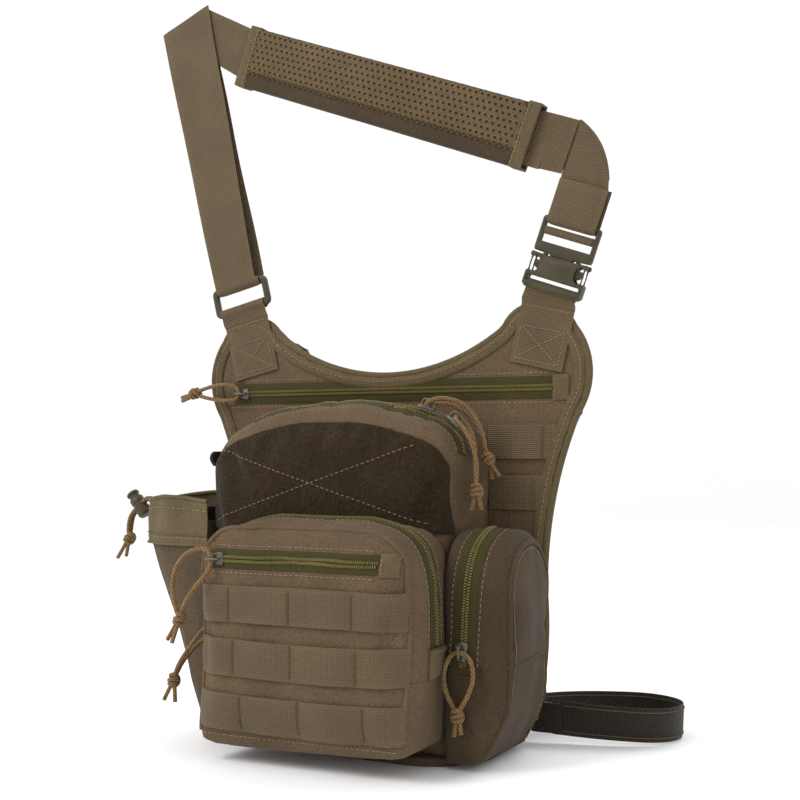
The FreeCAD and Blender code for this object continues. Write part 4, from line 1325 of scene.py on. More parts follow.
def turned(pile, centre, axis, profile, sides=28):
    """Solid of revolution: (height along the axis, radius) from one end to the other."""
    axis = Vector(axis).normalized()
    side = axis.orthogonal().normalized()
    other = axis.cross(side)
    verts = [centre + axis * h + (side * math.cos(a) + other * math.sin(a)) * r
             for h, r in profile for a in (2 * math.pi * k / sides for k in range(sides))]
    last = (len(profile) - 1) * sides
    caps = [tuple(range(sides)), tuple(last + k for k in range(sides - 1, -1, -1))]
    pile.add(verts, caps + ring_faces(len(profile), sides))


def make_cord_lock():
    """Barrel with shoulders, closed at either side where the strands pass, and its button."""
    barrel = Pile()
    turned(barrel, LOCK_AT, LOCK_AXIS, [(-6.5, 4.5), (-6.5, 5.2), (-6.0, 5.6), (-2.6, 5.6),
                                        (-2.3, 5.1), (2.3, 5.1), (2.6, 5.6), (8.4, 5.6),
                                        (9.2, 5.1), (9.5, 4.2), (9.5, 0.2)])
    rib = LOCK_AXIS.orthogonal().normalized()
    for k in range(10):
        a = 2 * math.pi * k / 10
        out = Matrix.Rotation(a, 3, LOCK_AXIS) @ rib
        barrel.tube([LOCK_AT + out * 5.4 + LOCK_AXIS * 3.2, LOCK_AT + out * 5.4 + LOCK_AXIS * 8.2], 0.5, 6)
    place(barrel.object("cord_lock_body", PLASTIC), "cord_lock", "buckle_plastic", "cord_lock_barrel")
    button = Pile()
    turned(button, LOCK_AT, LOCK_AXIS, [(-12.6, 0.2), (-12.6, 3.9), (-12.2, 4.7), (-11.4, 5.1), (-10.4, 5.1),
                                        (-10.0, 4.6), (-10.0, 4.2), (-5.5, 4.2), (-5.5, 0.2)])
    place(button.object("cord_lock_push", PLASTIC), "lock_button", "buckle_plastic", "cord_lock_button")
    spring = Pile()
    side = LOCK_AXIS.orthogonal().normalized()
    other = LOCK_AXIS.cross(side)
    spring.tube([LOCK_AT + LOCK_AXIS * (4.4 + 3.2 * k / 60) + side * 3.0 * math.cos(k / 60 * 8 * math.pi)
                 + other * 3.0 * math.sin(k / 60 * 8 * math.pi) for k in range(61)], 0.35, 6)
    place(spring.object("cord_lock_coil", STEEL), "cord_lock", "spring_steel", "cord_lock_spring")


# ---------------------------------------------------------------- moulded pieces
def leaned(x, z, degrees):
    """Maps (across, up) in a leaning frame to a point at a depth y."""
    c, s = math.cos(math.radians(degrees)), math.sin(math.radians(degrees))
    return lambda across, up, y: Vector((x + across * c + up * s, y, z - across * s + up * c))


# Leaning frames of the two anchors, and of the buckle above the right one.
LEFT = leaned(-117.0, 286.0, -TILT)
RIGHT = leaned(122.0, 286.0, TILT)
BUCKLE = leaned(RIGHT(0, 38, 0).x, RIGHT(0, 38, 0).z, 19.3)
STRAP_HALF = 20.0        # half the width of the strap's webbing at the anchors
STRAP_Y = 43.2           # depth of the middle of the ring and the buckle


def rounded(x0, x1, z0, z1, r, steps=4):
    """Rounded rectangle, counter-clockwise."""
    line = []
    for cx, cz, start in ((x1 - r, z0 + r, -90), (x1 - r, z1 - r, 0),
                          (x0 + r, z1 - r, 90), (x0 + r, z0 + r, 180)):
        for k in range(steps + 1):
            a = math.radians(start + 90 * k / steps)
            line.append((cx + r * math.cos(a), cz + r * math.sin(a)))
    return line


def slab(name, at, outline, holes, y0, y1, material, ease=0.8):
    """Plate with holes through it and eased edges, drawn flat in its leaning frame."""
    bm = bmesh.new()
    edges = []
    for loop in [outline] + holes:
        verts = [bm.verts.new((x, z, 0)) for x, z in loop]
        edges += [bm.edges.new((verts[k], verts[(k + 1) % len(verts)])) for k in range(len(verts))]
    bmesh.ops.triangle_fill(bm, use_beauty=True, use_dissolve=False, edges=edges)
    made = bmesh.ops.extrude_face_region(bm, geom=bm.faces[:])
    for v in (g for g in made["geom"] if isinstance(g, bmesh.types.BMVert)):
        v.co.z = 1
    bmesh.ops.recalc_face_normals(bm, faces=bm.faces)
    for v in bm.verts:
        v.co = at(v.co.x, v.co.y, y1 if v.co.z > 0.5 else y0) * MM
    mesh = bpy.data.meshes.new(name)
    bm.to_mesh(mesh)
    bm.free()
    mesh.materials.append(material)
    obj = bpy.data.objects.new(name, mesh)
    bpy.context.scene.collection.objects.link(obj)
    bevel = obj.modifiers.new("ease", "BEVEL")
    bevel.width = ease * MM
    bevel.segments = 2
    bevel.limit_method = "ANGLE"
    bevel.angle_limit = math.radians(40)
    baked(obj)
    obj.data.shade_smooth()
    obj.data.set_sharp_from_angle(angle=math.radians(40))
    return obj


def mirrored(right):
    """Closed outline from its right half, listed upwards."""
    return [(-right[0][0], right[0][1])] + right + [(-x, z) for x, z in reversed(right[1:])]


def make_hardware():
    """Ring, strap adjuster, and the side-release buckle's frame, plug and prongs."""
    y = STRAP_Y
    ring = slab("ring", LEFT, rounded(-25.5, 25.5, 35.75, 59.25, 4.5), [rounded(-21, 21, 40.25, 54.75, 1.6)],
                y - 2.4, y + 2.4, PLASTIC, 1.3)
    place(ring, "shoulder_strap", "buckle_plastic", "strap_ring")
    slide = slab("strap_slide", LEFT, rounded(-19, 16, 196, 226, 3), [rounded(-17.4, 14.4, 200, 208, 1),
                 rounded(-17.4, 14.4, 213, 221, 1)], y - 1.0, y + 2.2, PLASTIC, 0.7)
    place(slide, "adjuster", "buckle_plastic", "slide_adjuster")
    frame_outline = mirrored([(19.5, -2.25), (22, 0), (22, 8.5), (20.4, 10), (20.4, 19), (22, 20.5),
                              (21.4, 23), (9.5, 22.2)])
    curved = [(17.0, 8.6), (19.6, 10), (20.0, 14.5), (19.4, 19.4), (16.8, 21), (14.4, 19), (13.4, 15),
              (14.2, 11)]
    windows = [rounded(-20, 20, 2.4, 6.4, 0.8), curved, [(-x, z) for x, z in reversed(curved)]]
    for word, near, nodes in (("front", y - 4.5, ["buckle_female"]), ("back", y + 2.6, [])):
        shell = slab("buckle_frame_" + word, BUCKLE, frame_outline, windows, near, near + 1.9, PLASTIC, 0.6)
        place(shell, "shoulder_strap", "buckle_plastic", *nodes)
    for name, outline, half, ease in (
            ("buckle_frame_bar", rounded(-20.5, 20.5, -2.25, 2.25, 1.2), 2.7, 0.9),
            ("buckle_frame_web", rounded(-20.5, 20.5, 6.6, 9.0, 0.6), 2.8, 0.3),
            ("buckle_cheek_left", rounded(-22, -20.2, -1.0, 9.5, 0.8), 2.8, 0.5),
            ("buckle_cheek_right", rounded(20.2, 22, -1.0, 9.5, 0.8), 2.8, 0.5)):
        piece = slab(name, BUCKLE, outline, [], y - half, y + half, PLASTIC, ease)
        place(piece, "shoulder_strap", "buckle_plastic")
    plug_outline = mirrored([(8, 9.6), (8.8, 12), (8.8, 23.4), (21.5, 24), (22, 27), (22, 47), (20.8, 49)])
    slots = [rounded(-19, 19, 40.6, 45.8, 0.8), rounded(-19, 19, 31, 37.4, 0.8),
             rounded(-2.4, 2.4, 12.4, 21, 1.2)]
    plug = slab("buckle_tongue", BUCKLE, plug_outline, slots, y - 2.3, y + 2.3, PLASTIC, 0.8)
    place(plug, "buckle_plug", "buckle_plastic", "buckle_male")
    arm = [(11.2, 23.5), (11.0, 17), (11.2, 12.4), (12.4, 11.2), (14.4, 11.4), (17, 12.6), (18.6, 14.4),
           (18.6, 17.8), (17.4, 18.0), (15.2, 17.6), (14.2, 19.5), (14.0, 23.5)]
    for word, outline in (("left", [(-x, z) for x, z in reversed(arm)]), ("right", arm)):
        prong = slab("prong_arm_" + word, BUCKLE, outline, [], y - 2.2, y + 2.2, PLASTIC, 0.5)
        place(prong, "prong_" + word, "buckle_plastic", "buckle_prong_" + word)


# ---------------------------------------------------------------- strap webbing
def loop_sheet(pile, at, path, half, thick):
    """Webbing of half width that follows (up, y) points in a leaning frame."""
    rows = [[at(lerp(-half, half, j / 8), z, y) for j in range(9)] for z, y in path]
    outs = []
    for before, after in zip([path[0]] + path, path[1:] + [path[-1]]):
        tangent = Vector((after[0] - before[0], after[1] - before[1])).normalized()
        outs.append(at(0, -tangent.y, tangent.x) - at(0, 0, 0))
    pile.strip(rows, thick, outs)


def box_stitch(thread, skin, at, x0, x1, z0, z1, y=-20.0):
    """Sewn rectangle crossed corner to corner."""
    corners = [(x0, z0), (x1, z0), (x1, z1), (x0, z1)]
    for i, j in ((0, 1), (1, 2), (2, 3), (3, 0), (0, 2), (1, 3)):
        a, b = corners[i], corners[j]
        length = math.hypot(b[0] - a[0], b[1] - a[1])
        sew(thread, skin, lambda t: (at(lerp(a[0], b[0], t), lerp(a[1], b[1], t), y), (0, 1, 0)), length,
            pitch=2.6, stitch=1.9)


def make_anchor(word, at, loop_at, loop_bar, half):
    """Patch sewn to the panel, and the loop above it that turns round the bar."""
    patch = Pile()
    wide, foot, head, depth = STRAP_HALF, -16, 28, STRAP_Y - 0.2
    patch.strip(grid(12, 8, lambda u, v: at(lerp(-wide, wide, v), lerp(foot, head, u), depth)), 1.6)
    piece = patch.object(f"anchor_patch_{word}", WEBBING)
    place(piece, "bag", "webbing", "strap_anchor_" + word)
    thread = Pile()
    box_stitch(thread, Skin(piece), at, -16.5, 16.5, -12.5, 11)
    sew(thread, Skin(piece), lambda t: (at(lerp(-17, 17, t), 25, -20), (0, 1, 0)), 34, pitch=2.4, stitch=1.8)
    place(thread.object(f"anchor_stitches_{word}", THREAD), "bag", "webbing")
    loop = Pile()
    top, bottom = [], []
    for up, y in ((27.0, 43.0), (30.0, 41.6)):
        top.append([at(lerp(-wide, wide, j / 8), up, y - 0.8) for j in range(9)])
        bottom.append([at(lerp(-wide, wide, j / 8), up, y + 0.8) for j in range(9)])
    for k in range(17):
        a = math.radians(lerp(-140, 150, k / 16))
        for rows, r in ((top, 4.1), (bottom, 2.7)):
            up, y = loop_bar + r * math.cos(a), STRAP_Y + r * math.sin(a)
            rows.append([loop_at(lerp(-half, half, j / 8), up, y) for j in range(9)])
    loop.sheet(top, bottom)
    made = loop.object(f"anchor_turn_{word}", WEBBING)
    at(0, 27.5, 43) * MM
    loop_at(0, loop_bar - 3.6, 43) * MM
    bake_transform(made)
    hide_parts("anchor_loop_" + word)


def make_left_leg():
    """Front layer up to the fold, and the layer behind it that turns round the ring."""
    front_y = 39.3

    def bow(u, v):
        return -0.8 * math.sin(math.pi * u) - 0.5 * math.sin(9 * u) + 0.5 * math.sin(math.pi * v)
    pile = Pile()
    quad_sheet(pile, (LEFT(-20, 59, front_y), LEFT(17.5, 59, front_y), Vector((-157.0, front_y, 566)),
                      Vector((-201.0, front_y, 548))), 40, 8, 1.6, bow)
    piece = place(pile.object("strap_left_front", WEBBING), "shoulder_strap", "webbing", "strap_left_leg")
    back = Pile()
    back_y = 46.9
    path = [(59, 39.6)]
    for k in range(13):
        a = math.radians(-90 - 180 * k / 12)
        path.append((57 + 3.7 * math.cos(a), STRAP_Y + 3.7 * math.sin(a)))
    loop_sheet(back, LEFT, path + [(60, back_y)], 20, 1.5)
    quad_sheet(back, (LEFT(-20, 60, back_y), LEFT(21.5, 60, back_y), LEFT(19, 236, back_y),
                      LEFT(-20, 236, back_y)), 20, 8, 1.5, lambda u, v: 0.8 * math.sin(9 * u))
    place(back.object("strap_left_back", WEBBING), "shoulder_strap", "webbing")
    return piece


PAD_START, PAD_END = Vector((-121.0, 520.0)), Vector((118.0, 430.0))
PAD_LENGTH = (PAD_END - PAD_START).length


def pad_point(distance, across, y):
    """Along the shoulder pad's middle line, across it, and at a depth."""
    u = (PAD_END - PAD_START).normalized()
    p = PAD_START + u * distance + Vector((-u.y, u.x)) * across
    return Vector((p.x, y, p.y))


def quad_sheet(pile, corners, nu, nv, thick, shape=lambda u, v: 0.0):
    """Webbing between four corners (start-low, start-high, end-high, end-low), bowed by shape."""
    a, b, c, d = corners
    pile.strip(grid(nu, nv, lambda u, v: a.lerp(d, u).lerp(b.lerp(c, u), v)
                    + Vector((0, shape(u, v), 0))), thick)


def make_top_run():
    """From the left fold over the top to the pad, and the run hidden inside the pad."""
    y = 41.1
    fold_left, fold_right = Vector((-198.5, y, 546)), Vector((-159.5, y, 564))
    low = LEFT(20, 234, y)
    upper = Pile()
    quad_sheet(upper, (low, fold_right, pad_point(12, 19.5, y), pad_point(12, -19.5, y)), 14, 8, 1.5,
               lambda u, v: -0.9 * math.sin(math.pi * u) * math.sin(2 * v + 0.4))
    place(upper.object("strap_top_left", WEBBING), "shoulder_strap", "webbing", "strap_top_run")
    crease = Pile()
    quad_sheet(crease, (low, fold_left + Vector((0.6, 0, 0)), fold_right, low.lerp(fold_right, 0.98)),
               10, 8, 1.4, lambda u, v: -0.3)
    place(crease.object("strap_top_fold", WEBBING), "shoulder_strap", "webbing")
    hidden = Pile()
    quad_sheet(hidden, (pad_point(10, -19.5, y), pad_point(10, 19.5, y), pad_point(PAD_LENGTH + 11, 19.5, y),
                        pad_point(PAD_LENGTH + 11, -19.5, y)), 24, 8, 1.5)
    place(hidden.object("strap_through_pad", WEBBING), "shoulder_strap", "webbing")
    turn = Pile()
    bend = [fold_left + Vector((0, -0.9, 0)), fold_right + Vector((0, -0.9, 0))]
    points = [bend[0].lerp(bend[1], k / 8) for k in range(9)]
    turn.tube(points, 1.1, 8)
    place(turn.object("strap_fold_roll", WEBBING), "shoulder_strap", "webbing")


def make_pad():
    """Shoulder pad: its cushion, the mesh on its front, a zigzag seam and the bound ends."""
    w = 23.0
    near, far = 35.1, 47.1
    outline = traced([(6.0, -w), (PAD_LENGTH - 6, -w), (PAD_LENGTH - 6, w), (6.0, w), (6.0, -w + 1)], 3.0)
    # The pad takes the shaded copy of the coyote nylon: painted shade.
    pad = cushion("pad_body", outline, (PAD_LENGTH / 2, 0), near, far, near_round=4.0, far_round=4.0,
                  crown=0.6, to_space=pad_point, material=FABRIC_SHADED)
    inflate(pad, voxel=3.2, pressure=2.0, cap=1.2, held=lambda p: not 36 < p.y < 46)
    place(pad, "pad", "pad_fabric", "shoulder_pad")
    skin = Skin(pad)

    def over(distance, across):
        p = pad_point(distance, across, -20)
        return (p.x, p.y, p.z), (0, 1, 0)
    lining = Pile()
    drape(lining, skin, lambda u, v: over(lerp(9, PAD_LENGTH - 9, u), lerp(-10.4, 21.4, v)), 50, 8, 0.9,
          lift=0.1)
    place(lining.object("pad_mesh_ground", MESH), "pad", "pad_mesh")
    make_spacer_mesh(skin, over)
    thread = Pile()
    row = []
    for k in range(97):
        p, n = skin.hit(*over(lerp(10, PAD_LENGTH - 10, k / 96), -11.6 + (1.1 if k % 2 else -1.1)))
        row.append(p + n * 0.7)
    thread.tube(row, 0.55, 5)
    place(thread.object("pad_zigzag", OLIVE_THREAD), "pad", "pad_mesh")
    ends, stitches = Pile(), Pile()
    tape, rim = 9.5, w + 0.2
    for start in (0.0, PAD_LENGTH - tape):
        for face, way in ((near, -1), (far, 1)):
            top = []
            for i in range(6):
                rise = way * 0.9 * (0.4 if i in (0, 5) else 1.0)
                top.append([pad_point(start + tape * i / 5, lerp(-rim, rim, j / 12),
                                      face + rise * (1 - 0.9 * abs(j / 6 - 1) ** 6)) for j in range(13)])
            ends.sheet(top, grid(5, 12, lambda u, v: pad_point(start + tape * u, lerp(-rim, rim, v),
                                                               face - way * 1.8)))
        for way in (-1, 1):
            ends.sheet(*(grid(5, 5, lambda u, v: pad_point(start + tape * u, way * across,
                                                           lerp(near + 0.6, far - 0.6, v)))
                         for across in (rim + 0.4, rim - 0.9)))
        s = start + (8.0 if start == 0 else 1.6)
        for k in range(13):
            a = pad_point(s, lerp(-w + 2, w - 3.5, k / 12), near - 1.0)
            stitches.stitch(a, a + (pad_point(s, 1.9, 0) - pad_point(s, 0, 0)), Vector((0, -1, 0)), 0.4)
    place(ends.object("pad_ends", BINDING), "pad", "binding_tape", "pad_end_bindings")
    place(stitches.object("pad_end_stitches", THREAD), "pad", "binding_tape")


def make_spacer_mesh(skin, over):
    """Knitted face of the pad: a net of threads round staggered holes, with near-black discs of painted
    shade at the foot of each hole.
    """
    pitch, rows, radius, sides = 5.0, 7, 1.25, 8
    height = 31.0 / rows
    columns = int((PAD_LENGTH - 20) / pitch)
    net, holes = Pile(), Pile()
    spots = {}

    def spot(s, a, lift):
        key = (round(s, 2), round(a, 2), lift)
        if key not in spots:
            p, n = skin.hit(*over(s, a))
            spots[key] = p + n * lift
        return spots[key]
    for r in range(rows):
        for c in range(columns):
            s0 = 10 + (c + (0.5 if r % 2 else 0.0)) * pitch
            a0 = -9.8 + (r + 0.5) * height
            ring, rim = [], []
            for k in range(sides):
                a = 2 * math.pi * (k + 0.5) / sides
                dx, dz = math.cos(a), math.sin(a)
                reach = min(pitch / 2 / max(abs(dx), 1e-6), height / 2 / max(abs(dz), 1e-6))
                ring.append((s0 + dx * radius, a0 + dz * radius * 0.9))
                rim.append((s0 + dx * reach, a0 + dz * reach))
            verts = [spot(*p, 1.1) for p in rim]
            verts += [spot(*(Vector(p).lerp(Vector((s0, a0)), -0.35)), 1.5) for p in ring]
            verts += [spot(*p, 1.3) for p in ring]
            verts += [spot(*p, 0.45) for p in ring]
            # A near-black disc at the foot of each hole: painted shade.
            holes.add([spot(*p, 1.12) for p in ring], [tuple(range(sides))])
            net.add(verts, ring_faces(4, sides))
    piece = net.object("pad_mesh_net", MESH)
    place(piece, "pad", "pad_mesh", "pad_mesh_cover")
    place(holes.object("pad_mesh_hole_shade", LINING_AND_SHADE, smooth=False), "pad", "pad_mesh")


def make_right_leg():
    """From the pad over the diagonal fold, with its bulging outer corner, down to the buckle."""
    y = 42.8
    upper = Pile()
    quad_sheet(upper, (pad_point(PAD_LENGTH - 4, -19.6, 41.2), pad_point(PAD_LENGTH - 4, 19.6, 41.2),
                       Vector((151.5, y - 1.2, 438.8)), Vector((138.0, y - 0.8, 403.4))), 12, 8, 1.5,
               lambda u, v: -0.9 * math.sin(math.pi * u) * v)
    place(upper.object("strap_right_upper", WEBBING), "shoulder_strap", "webbing")
    inner = [Vector((136.2, 395.2)), Vector((138.2, 403.7)), Vector((151.0, 438.6))]
    bend = [Vector((172.6, 395.5)), Vector((171.0, 421.0)), Vector((152.0, 439.2))]

    def lower_point(t, v):
        if t < 0.25:
            left = inner[0].lerp(inner[1], t / 0.25)
        else:
            left = inner[1].lerp(inner[2], (t - 0.25) / 0.75)
        if t < 0.3:
            right = Vector((171.2, 383.0)).lerp(bend[0], t / 0.3)
        else:
            s = (t - 0.3) / 0.7
            right = bend[0] * (1 - s) ** 2 + bend[1] * 2 * s * (1 - s) + bend[2] * s * s
        p = left.lerp(right, v)
        swell = 2.4 * math.sin(math.pi * min(1.0, t * 1.05)) * v ** 2 + 0.8 * math.sin(math.pi * v)
        return Vector((p.x, y - swell, p.y))
    rows = grid(30, 8, lower_point)
    lower = Pile()
    lower.strip(rows, 1.5)
    place(lower.object("strap_right_lower", WEBBING), "shoulder_strap", "webbing", "strap_right_leg")
    roll = Pile()
    roll.tube([row[8] for row in rows][9:], lambda t: 0.5 + 0.9 * math.sin(math.pi * t), 8)
    place(roll.object("strap_right_fold", WEBBING), "shoulder_strap", "webbing")
    sleeve = Pile()
    bar = 47.4
    layer = [(75.5, 3.7), (68, 3.8), (58, 3.9), (50, 4.0)]
    path = [(up, STRAP_Y - off) for up, off in layer]
    path += [(bar - 3.4 * math.cos(a), STRAP_Y - 4.1 * math.sin(a)) for a in
             (math.radians(70 - 140 * k / 12) for k in range(13))]
    path += [(up, STRAP_Y + off) for up, off in reversed(layer)]
    loop_sheet(sleeve, BUCKLE, path, 18.4, 1.4)
    piece = sleeve.object("plug_webbing_turn", WEBBING)
    place(piece, "buckle_plug", "webbing", "buckle_webbing")
    roll = Pile()
    roll.tube([BUCKLE(across, 39.0, STRAP_Y) for across in (-18, -9, 0, 9, 18)], 2.9, 12)
    place(roll.object("plug_webbing_roll", WEBBING), "buckle_plug", "webbing")


# ---------------------------------------------------------------- waist strap
def waist_line():
    """Plan of the waist strap: arcs that turn left, then the straight end."""
    x, y, heading = 125.0, 82.0, 8.0
    points = [Vector((x, y))]
    for radius, sweep in ((200, 16), (34, 175), (90, 40)):
        a = math.radians(heading)
        cx, cy = x - radius * math.sin(a), y + radius * math.cos(a)
        steps = max(4, int(radius * math.radians(sweep) / 4))
        for k in range(1, steps + 1):
            b = a - math.pi / 2 + math.radians(sweep) * k / steps
            points.append(Vector((cx + radius * math.cos(b), cy + radius * math.sin(b))))
        heading += sweep
        x, y = points[-1]
    a = math.radians(heading)
    points += [Vector((x + math.cos(a) * s, y + math.sin(a) * s)) for s in (5, 10, 16, 22, 28, 34, 40, 44.6)]
    return points


WAIST_RISE = 5.0         # how much higher the strap's ends stand than its far bend


def make_waist_strap():
    """Webbing band with its edge threads, the two-plate slide on it and the tab on the bag."""
    line = [Vector((118.0, 80.4)), Vector((121.5, 81.0))] + waist_line()
    strap, trim = Pile(), Pile()
    sides = []
    for before, after in zip([line[0]] + line, line[1:] + [line[-1]]):
        t = (after - before).normalized()
        sides.append(Vector((t.y, -t.x, 0)))
    rows = []
    run = 0.0
    for i, p in enumerate(line):
        run += (p - line[i - 1]).length if i else 0.0
        lift = 0.5 + WAIST_RISE * (1 - math.sin(math.pi * i / (len(line) - 1)))
        lean = 1.2 * math.sin(run / 55)
        levels = [0.4 + 24.6 * j / 8 for j in range(9)]
        rows.append([Vector((p.x, p.y, z + lift)) + sides[i] * (lean * (z / 25)) for z in levels])
    top, bottom = strap.strip(rows, 1.6, sides, 0.3)
    piece = strap.object("waist_webbing_band", WAIST)
    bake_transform(piece)
    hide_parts("waist_strap")
    for j in (1, 7):
        trim.tube([row[j] + sides[i] * 0.15 for i, row in enumerate(top)][2:], 0.42, 6)
        trim.tube([row[j] - sides[i] * 0.15 for i, row in enumerate(bottom)][2:], 0.42, 6)
    place(trim.object("waist_webbing_threads", OLIVE_THREAD), "waist_strap", "waist_webbing")
    low, high = box("waist_adjuster")
    centre = (low + high) / 2 + Vector((0, 0, WAIST_RISE * 0.8))
    along = Vector((-0.515, -0.857, 0)).normalized()
    side = Vector((along.y, -along.x, 0))

    def at(x, z, y):
        return centre + along * x + Vector((0, 0, z)) + side * y
    for word, near, nodes in (("inner", -3.0, ["waist_adjuster"]), ("outer", 1.2, [])):
        plate = slab("waist_slide_" + word, at, rounded(-6, 6, -14.8, 14.8, 4.0),
                     [rounded(-3.2, 3.2, -10, 10, 1.5)], near, near + 1.8, PLASTIC, 0.7)
        place(plate, "waist_adjuster", "buckle_plastic", *nodes)
    cap = slab("waist_slide_cap", at, rounded(-5.6, 5.6, 11.6, 14.8, 1.4), [], -2.8, 2.8, PLASTIC, 0.6)
    place(cap, "waist_adjuster", "buckle_plastic")
    tab_low, tab_high = box("waist_anchor_tab")
    tab = Pile()
    tab.strip(grid(8, 8, lambda u, v: Vector((lerp(tab_low.x, tab_high.x, v), tab_high.y - 1,
                                              lerp(tab_low.z, tab_high.z, u) + 4))), 2.0, (0, 1, 0))
    place(tab.object("waist_tab", WAIST), "bag", "webbing", "waist_anchor_tab")


# ---------------------------------------------------------------- rows, tabs and seams
def bar_tack(thread, skin, x, z, y=FROM_FRONT):
    """Upright row of close zigzag stitches."""
    for k in range(int(TACK_HEIGHT / TACK_PITCH)):
        level = z - TACK_HEIGHT / 2 + k * TACK_PITCH
        a, n = skin.hit(*front(x - 0.9, level, y))
        b, _ = skin.hit(*front(x + 0.9, level + 0.5, y))
        thread.tube([a + n * 0.1, (a + b) / 2 + n * 0.35, b + n * 0.1], 0.42, 5)


# Foot of each front row, with the places of its bar tacks; foot, outer end and tack of each side row.
FRONT_ROWS = ((96.6, (-51, -2.9, 43.6)), (61.6, (-46.9, -2.1, 46.2)), (25.2, (-41.3, 3.3, 51.4)))
PANEL_ROWS = ((205.8, 134.0, 123.8), (169.8, 126.0, 117.0))
ROW_WIDTH = 24.6
TACK_HEIGHT = 22
TACK_PITCH = 1.15


def sewn_row(pile, skin, source, steps, lift, thick, eased):
    """A row of webbing held off a surface by lift; eased thins its edges above and below."""
    top, bottom = [], []
    for i in range(steps + 1):
        row_t, row_b = [], []
        for j in range(7):
            p, n = skin.hit(*source(i / steps, j / 6))
            rise, edge = lift(i / steps, j / 6), j in (0, 6)
            row_t.append(p + n * (rise - eased[0] * edge))
            row_b.append(p + n * (rise - thick + eased[1] * edge))
        top.append(row_t)
        bottom.append(row_b)
    pile.sheet(top, bottom)


def make_rows(pocket):
    """Three rows on the front pocket, each bulging between its bar tacks."""
    low, high = box("front_webbing_rows")
    skin = Skin(pocket)
    rows, tacks = Pile(), Pile()
    for base, spots in FRONT_ROWS:
        stops = [low.x] + list(spots) + [high.x]
        sag = 1.2 if base < 90 else -0.6

        def source(u, v):
            return front(lerp(low.x, high.x, u), base + 0.2 + ROW_WIDTH * v - sag * math.sin(math.pi * u))

        def lift(u, v):
            x = lerp(low.x, high.x, u)
            swell = 0.0
            for a, b in zip(stops, stops[1:]):
                if a <= x <= b:
                    swell = math.sin(math.pi * (x - a) / (b - a)) ** 0.7
            return 1.6 + 1.7 * swell * (0.75 + 0.25 * math.sin(math.pi * v))
        sewn_row(rows, skin, source, 66, lift, 1.5, (0.375, 0.225))
    webbing = place(rows.object("front_row_webbing", WEBBING), "bag", "webbing", "front_webbing_rows")
    over = Skin(webbing)
    for base, spots in FRONT_ROWS:
        for x in spots:
            bar_tack(tacks, over, x, base + 12.4)
    place(tacks.object("front_row_tacks", OLIVE_THREAD), "bag", "webbing")


def make_panel_rows(panel):
    """Two short rows beside the pouch, each tacked near its outer end."""
    skin = Skin(panel)
    pile, tacks = Pile(), Pile()
    for base, end, _ in PANEL_ROWS:
        sewn_row(pile, skin,
                 lambda u, v: front(lerp(83, end, u), base + 0.2 + ROW_WIDTH * v, FROM_PANEL), 18,
                 lambda u, v: 1.7 + 1.4 * math.sin(math.pi * min(1, u * 18 / 15)), 1.4, (0.2, 0.0))
    webbing = place(pile.object("panel_row_webbing", WEBBING), "bag", "webbing", "panel_webbing_rows")
    over = Skin(webbing)
    for base, _, tack in PANEL_ROWS:
        bar_tack(tacks, over, tack, base + 12.5, FROM_PANEL)
    place(tacks.object("panel_row_tacks", OLIVE_THREAD), "bag", "webbing")


def make_tabs(panel, pocket, thread):
    """Fabric tabs over the ends of the straight zips, and the gusset zip's garage."""
    panel_skin, pocket_skin = Skin(panel), Skin(pocket)
    tabs = Pile()
    for skin, x0, x1, z0, z1, y, columns, thick, lift in (
            (panel_skin, 131, 143, 247, 265, FROM_PANEL, 6, 2.0, 0.2),
            (pocket_skin, 62, 74.5, 131.5, 146.5, FROM_FRONT, 6, 2.0, 0.2),
            (panel_skin, -141, -134, 247.5, 264.5, FROM_PANEL, 5, 1.8, 0.1)):
        drape(tabs, skin, lambda u, v: front(lerp(x0, x1, u), lerp(z0, z1, v), y), columns, 6, thick, lift)
    over = Skin(place(tabs.object("zip_ends", BINDING), "bag", "binding_tape", "zip_end_tabs"))
    for x, foot, head, y in ((133.0, 249, 263, FROM_PANEL), (64.4, 133, 145, FROM_FRONT)):
        sew_line(thread, over, (x, foot), (x, head), y, pitch=2.6, stitch=1.8)
    garage = Pile()
    low, high = box("gusset_zip_garage")
    for foot, columns, thick in ((low.z, 6, 3.0), (high.z - 4, 3, 3.8)):
        drape(garage, pocket_skin,
              lambda u, v: from_right(lerp(low.y, high.y, u), lerp(foot, high.z, v), 130),
              8, columns, thick, lift=0.4)
    place(garage.object("gusset_zip_tab", BINDING), "bag", "binding_tape", "gusset_zip_garage")


def make_loop_panel(pouch, thread):
    """Loop panel under the arched zip, cut to its arch and sewn corner to corner."""
    outline = pouch_outline()
    skin = Skin(pouch)
    limit = [p for p in outline if p.y > 160]

    def top_at(x):
        best = 240.0
        for a, b in zip(limit, limit[1:]):
            if min(a.x, b.x) <= x <= max(a.x, b.x):
                t = (x - a.x) / (b.x - a.x) if b.x != a.x else 0
                best = a.lerp(b, t).y
        return best
    pile = Pile()
    left, right, foot = outline[0].x + 4, -outline[0].x - 40, 155.0

    def source(u, v):
        x = lerp(left, right, u)
        top = min(top_at(x) - 16, 231.0)
        corner_cut = 5 * max(0.0, 1 - min(u, 1 - u) / 0.03) ** 2
        return front(x, lerp(foot, top - corner_cut, v), FROM_POUCH)
    drape(pile, skin, source, 96, 34, 1.6, lift=0.5, edge=0.6)
    piece = place(pile.object("loop_pile_panel", PILE), "bag", "loop_pile", "loop_panel")
    over = Skin(piece)
    x0, x1, z0, z1 = left + 7, right - 7, foot + 6, 222.0
    sew_line(thread, over, (x0, z0), (x1 - 9, z1 - 5), FROM_POUCH, pitch=4.2, stitch=2.4)
    sew_line(thread, over, (x0, z1 - 8), (x1, z0), FROM_POUCH, pitch=4.2, stitch=2.4)


